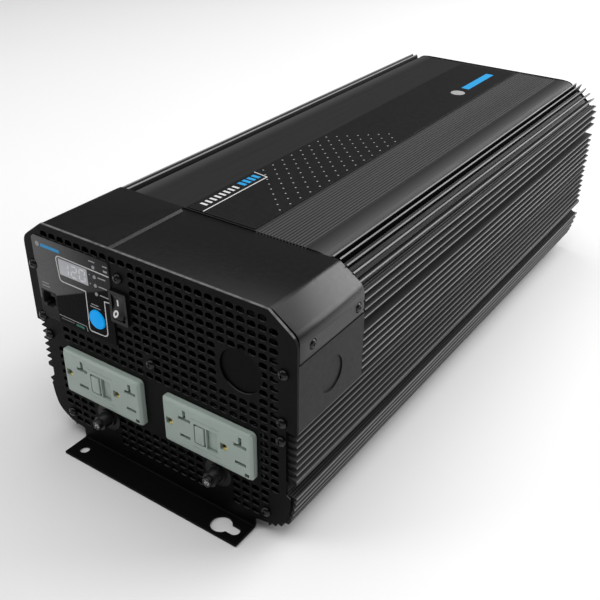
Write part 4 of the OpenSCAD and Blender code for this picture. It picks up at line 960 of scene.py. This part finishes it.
# display: a pale lit pane with the numerals a shade brighter
bm = bmesh.new()
slab(bm, -59.5, 133.2, 24.6, 11.2, 0.4, 0.5, -0.62, bevel=0.15, seg=2)
new_object("display_pane", bm, "window", HOUSE, ["display_window"])
bm = bmesh.new()
D = front3d(-0.62)
digits(bm, "1", -67.4, 129.3, 3.6, 7.5, 0.95, D, H0, 0.04, 0, slant=0.05)
digits(bm, "20", -61.3, 129.3, 4.6, 7.5, 0.95, D, H0, 0.04, 2.4, slant=0.05)
new_object("display_numerals", bm, "segment", HOUSE, ["display_digits"])

# label print: rule with a tick, bars and the dot field
bm = bmesh.new()
T = top3d(158.0)
ribbon(bm, [(-15.9, 68.6), (-15.9, 133.9), (-28.1, 135.9)], 0.8, T, H0, 0.05, mat=0)
for n in range(14):
    for k in range(max(0, n - 7), 9):
        disc(bm, -25.0 + 5.75 * k, 142.0 + 11.1 * n - 5.6 * k, 0.62, T, H0, 0.05, seg=10, mat=1)
# rows of plain blocks along the rule, in white and then in blue
for n in range(8):
    bar(bm, (-25.0, 77.0 + 4.5 * n), (-19.6, 77.0 + 4.5 * n), 2.0, T, H0, 0.05, mat=0)
for n in range(4):
    bar(bm, (-25.6, 115.4 + 4.9 * n), (-19.2, 115.4 + 4.9 * n), 3.0, T, H0, 0.05, mat=2)
# plain bar near the far end
bar(bm, (7.5, 388.0), (7.5, 440.0), 7.0, T, H0, 0.05, mat=2)
disc(bm, 7.5, 374.0, 6.0, T, H0, 0.05, seg=40, mat=1)
new_object("label_print", bm, "ink_white", smooth=30, more=("ink_grey", "ink_blue"))

# ------------------------------------------------------------------ screws
def screw(bm, where, direction, r=3.3, shank=1.7, length=8.0, mat=0):
    lathe(bm, [(0, -length), (shank * 0.7, -length), (shank, -length + 0.6), (shank, 0.0), (r * 0.97, 0.0), (r, 0.12), (r, r * 0.2), (r * 0.965, r * 0.33), (r * 0.88, r * 0.46),
               (r * 0.76, r * 0.57), (r * 0.6, r * 0.67), (r * 0.4, r * 0.74), (r * 0.2, r * 0.775), (0.0, r * 0.785)], where, direction, seg=36, mat=mat)


def cross_cut(bm, where, direction, r):
    x, y, z = where
    a, b = r * 0.42, r * 0.095
    h0, h1 = r * 0.34, r * 1.2
    for w, d in ((a, b), (b, a)):
        if direction == "-y":
            c = [(x + i * w, y - h, z + j * d) for h in (h0, h1) for i, j in ((-1, -1), (1, -1), (1, 1), (-1, 1))]
        elif direction == "+y":
            c = [(x + i * w, y + h, z + j * d) for h in (h0, h1) for i, j in ((-1, -1), (1, -1), (1, 1), (-1, 1))]
        else:
            c = [(x + h, y + i * w, z + j * d) for h in (h0, h1) for i, j in ((-1, -1), (1, -1), (1, 1), (-1, 1))]
        v = [bm.verts.new(P(*p)) for p in c]
        for f in ((3, 2, 1, 0), (4, 5, 6, 7), (0, 1, 5, 4), (1, 2, 6, 5), (2, 3, 7, 6), (3, 0, 4, 7)):
            bm.faces.new([v[i] for i in f])


def screw_set(name, places, direction, r, shank, length, mat, node):
    bm = bmesh.new()
    for p in places:
        screw(bm, p, direction, r, shank, length)
    o = temp(bm, name)
    bm = bmesh.new()
    for p in places:
        cross_cut(bm, p, direction, r)
    # the two bars of a cross overlap, so they are cut one after the other
    me = bpy.data.meshes.new("c")
    bm.to_mesh(me)
    bm.free()
    for part in (0, 1):
        b2 = bmesh.new()
        b2.from_mesh(me)
        b2.faces.ensure_lookup_table()
        keep = []
        for i, f in enumerate(b2.faces):
            if (i // 6) % 2 != part:
                keep.append(f)
        bmesh.ops.delete(b2, geom=keep, context="FACES")
        boolean(o, temp(b2))
    bpy.data.meshes.remove(me)
    o.data.materials.clear()
    o.data.materials.append(M[mat])
    shade(o, 30)
    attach(o, HOUSE)
    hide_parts(node)
    return o


low = [(91.4, 77), (-91.4, 77), (80.5, 19), (-80.5, 19)]
lip = [(91.4, 125.6), (-91.4, 125.6), (91.4, 91.6), (-91.4, 91.6)]
front_lip = [(93.2, 122), (-95.4, 127.6), (92, 89.8), (-94.6, 90.4)]
facing = [(-22.2, 140.8), (-2.2, 89.6)]
screw_set("front_screws", [(x, 0, z) for x, z in low + front_lip + facing], "-y", 3.3, 1.7, 8, "black_screw", "front_panel_screws")
screw_set("rear_screws", [(x, BODY, z) for x, z in low + lip], "+y", 3.3, 1.7, 8, "black_screw", "rear_panel_screws")
screw_set("cover_fixing_screws", [(99.65, 15.5, 135.4), (99.65, 60.5, 134.6)], "+x", 2.9, 1.7, 6, "black_screw", "cover_screws")
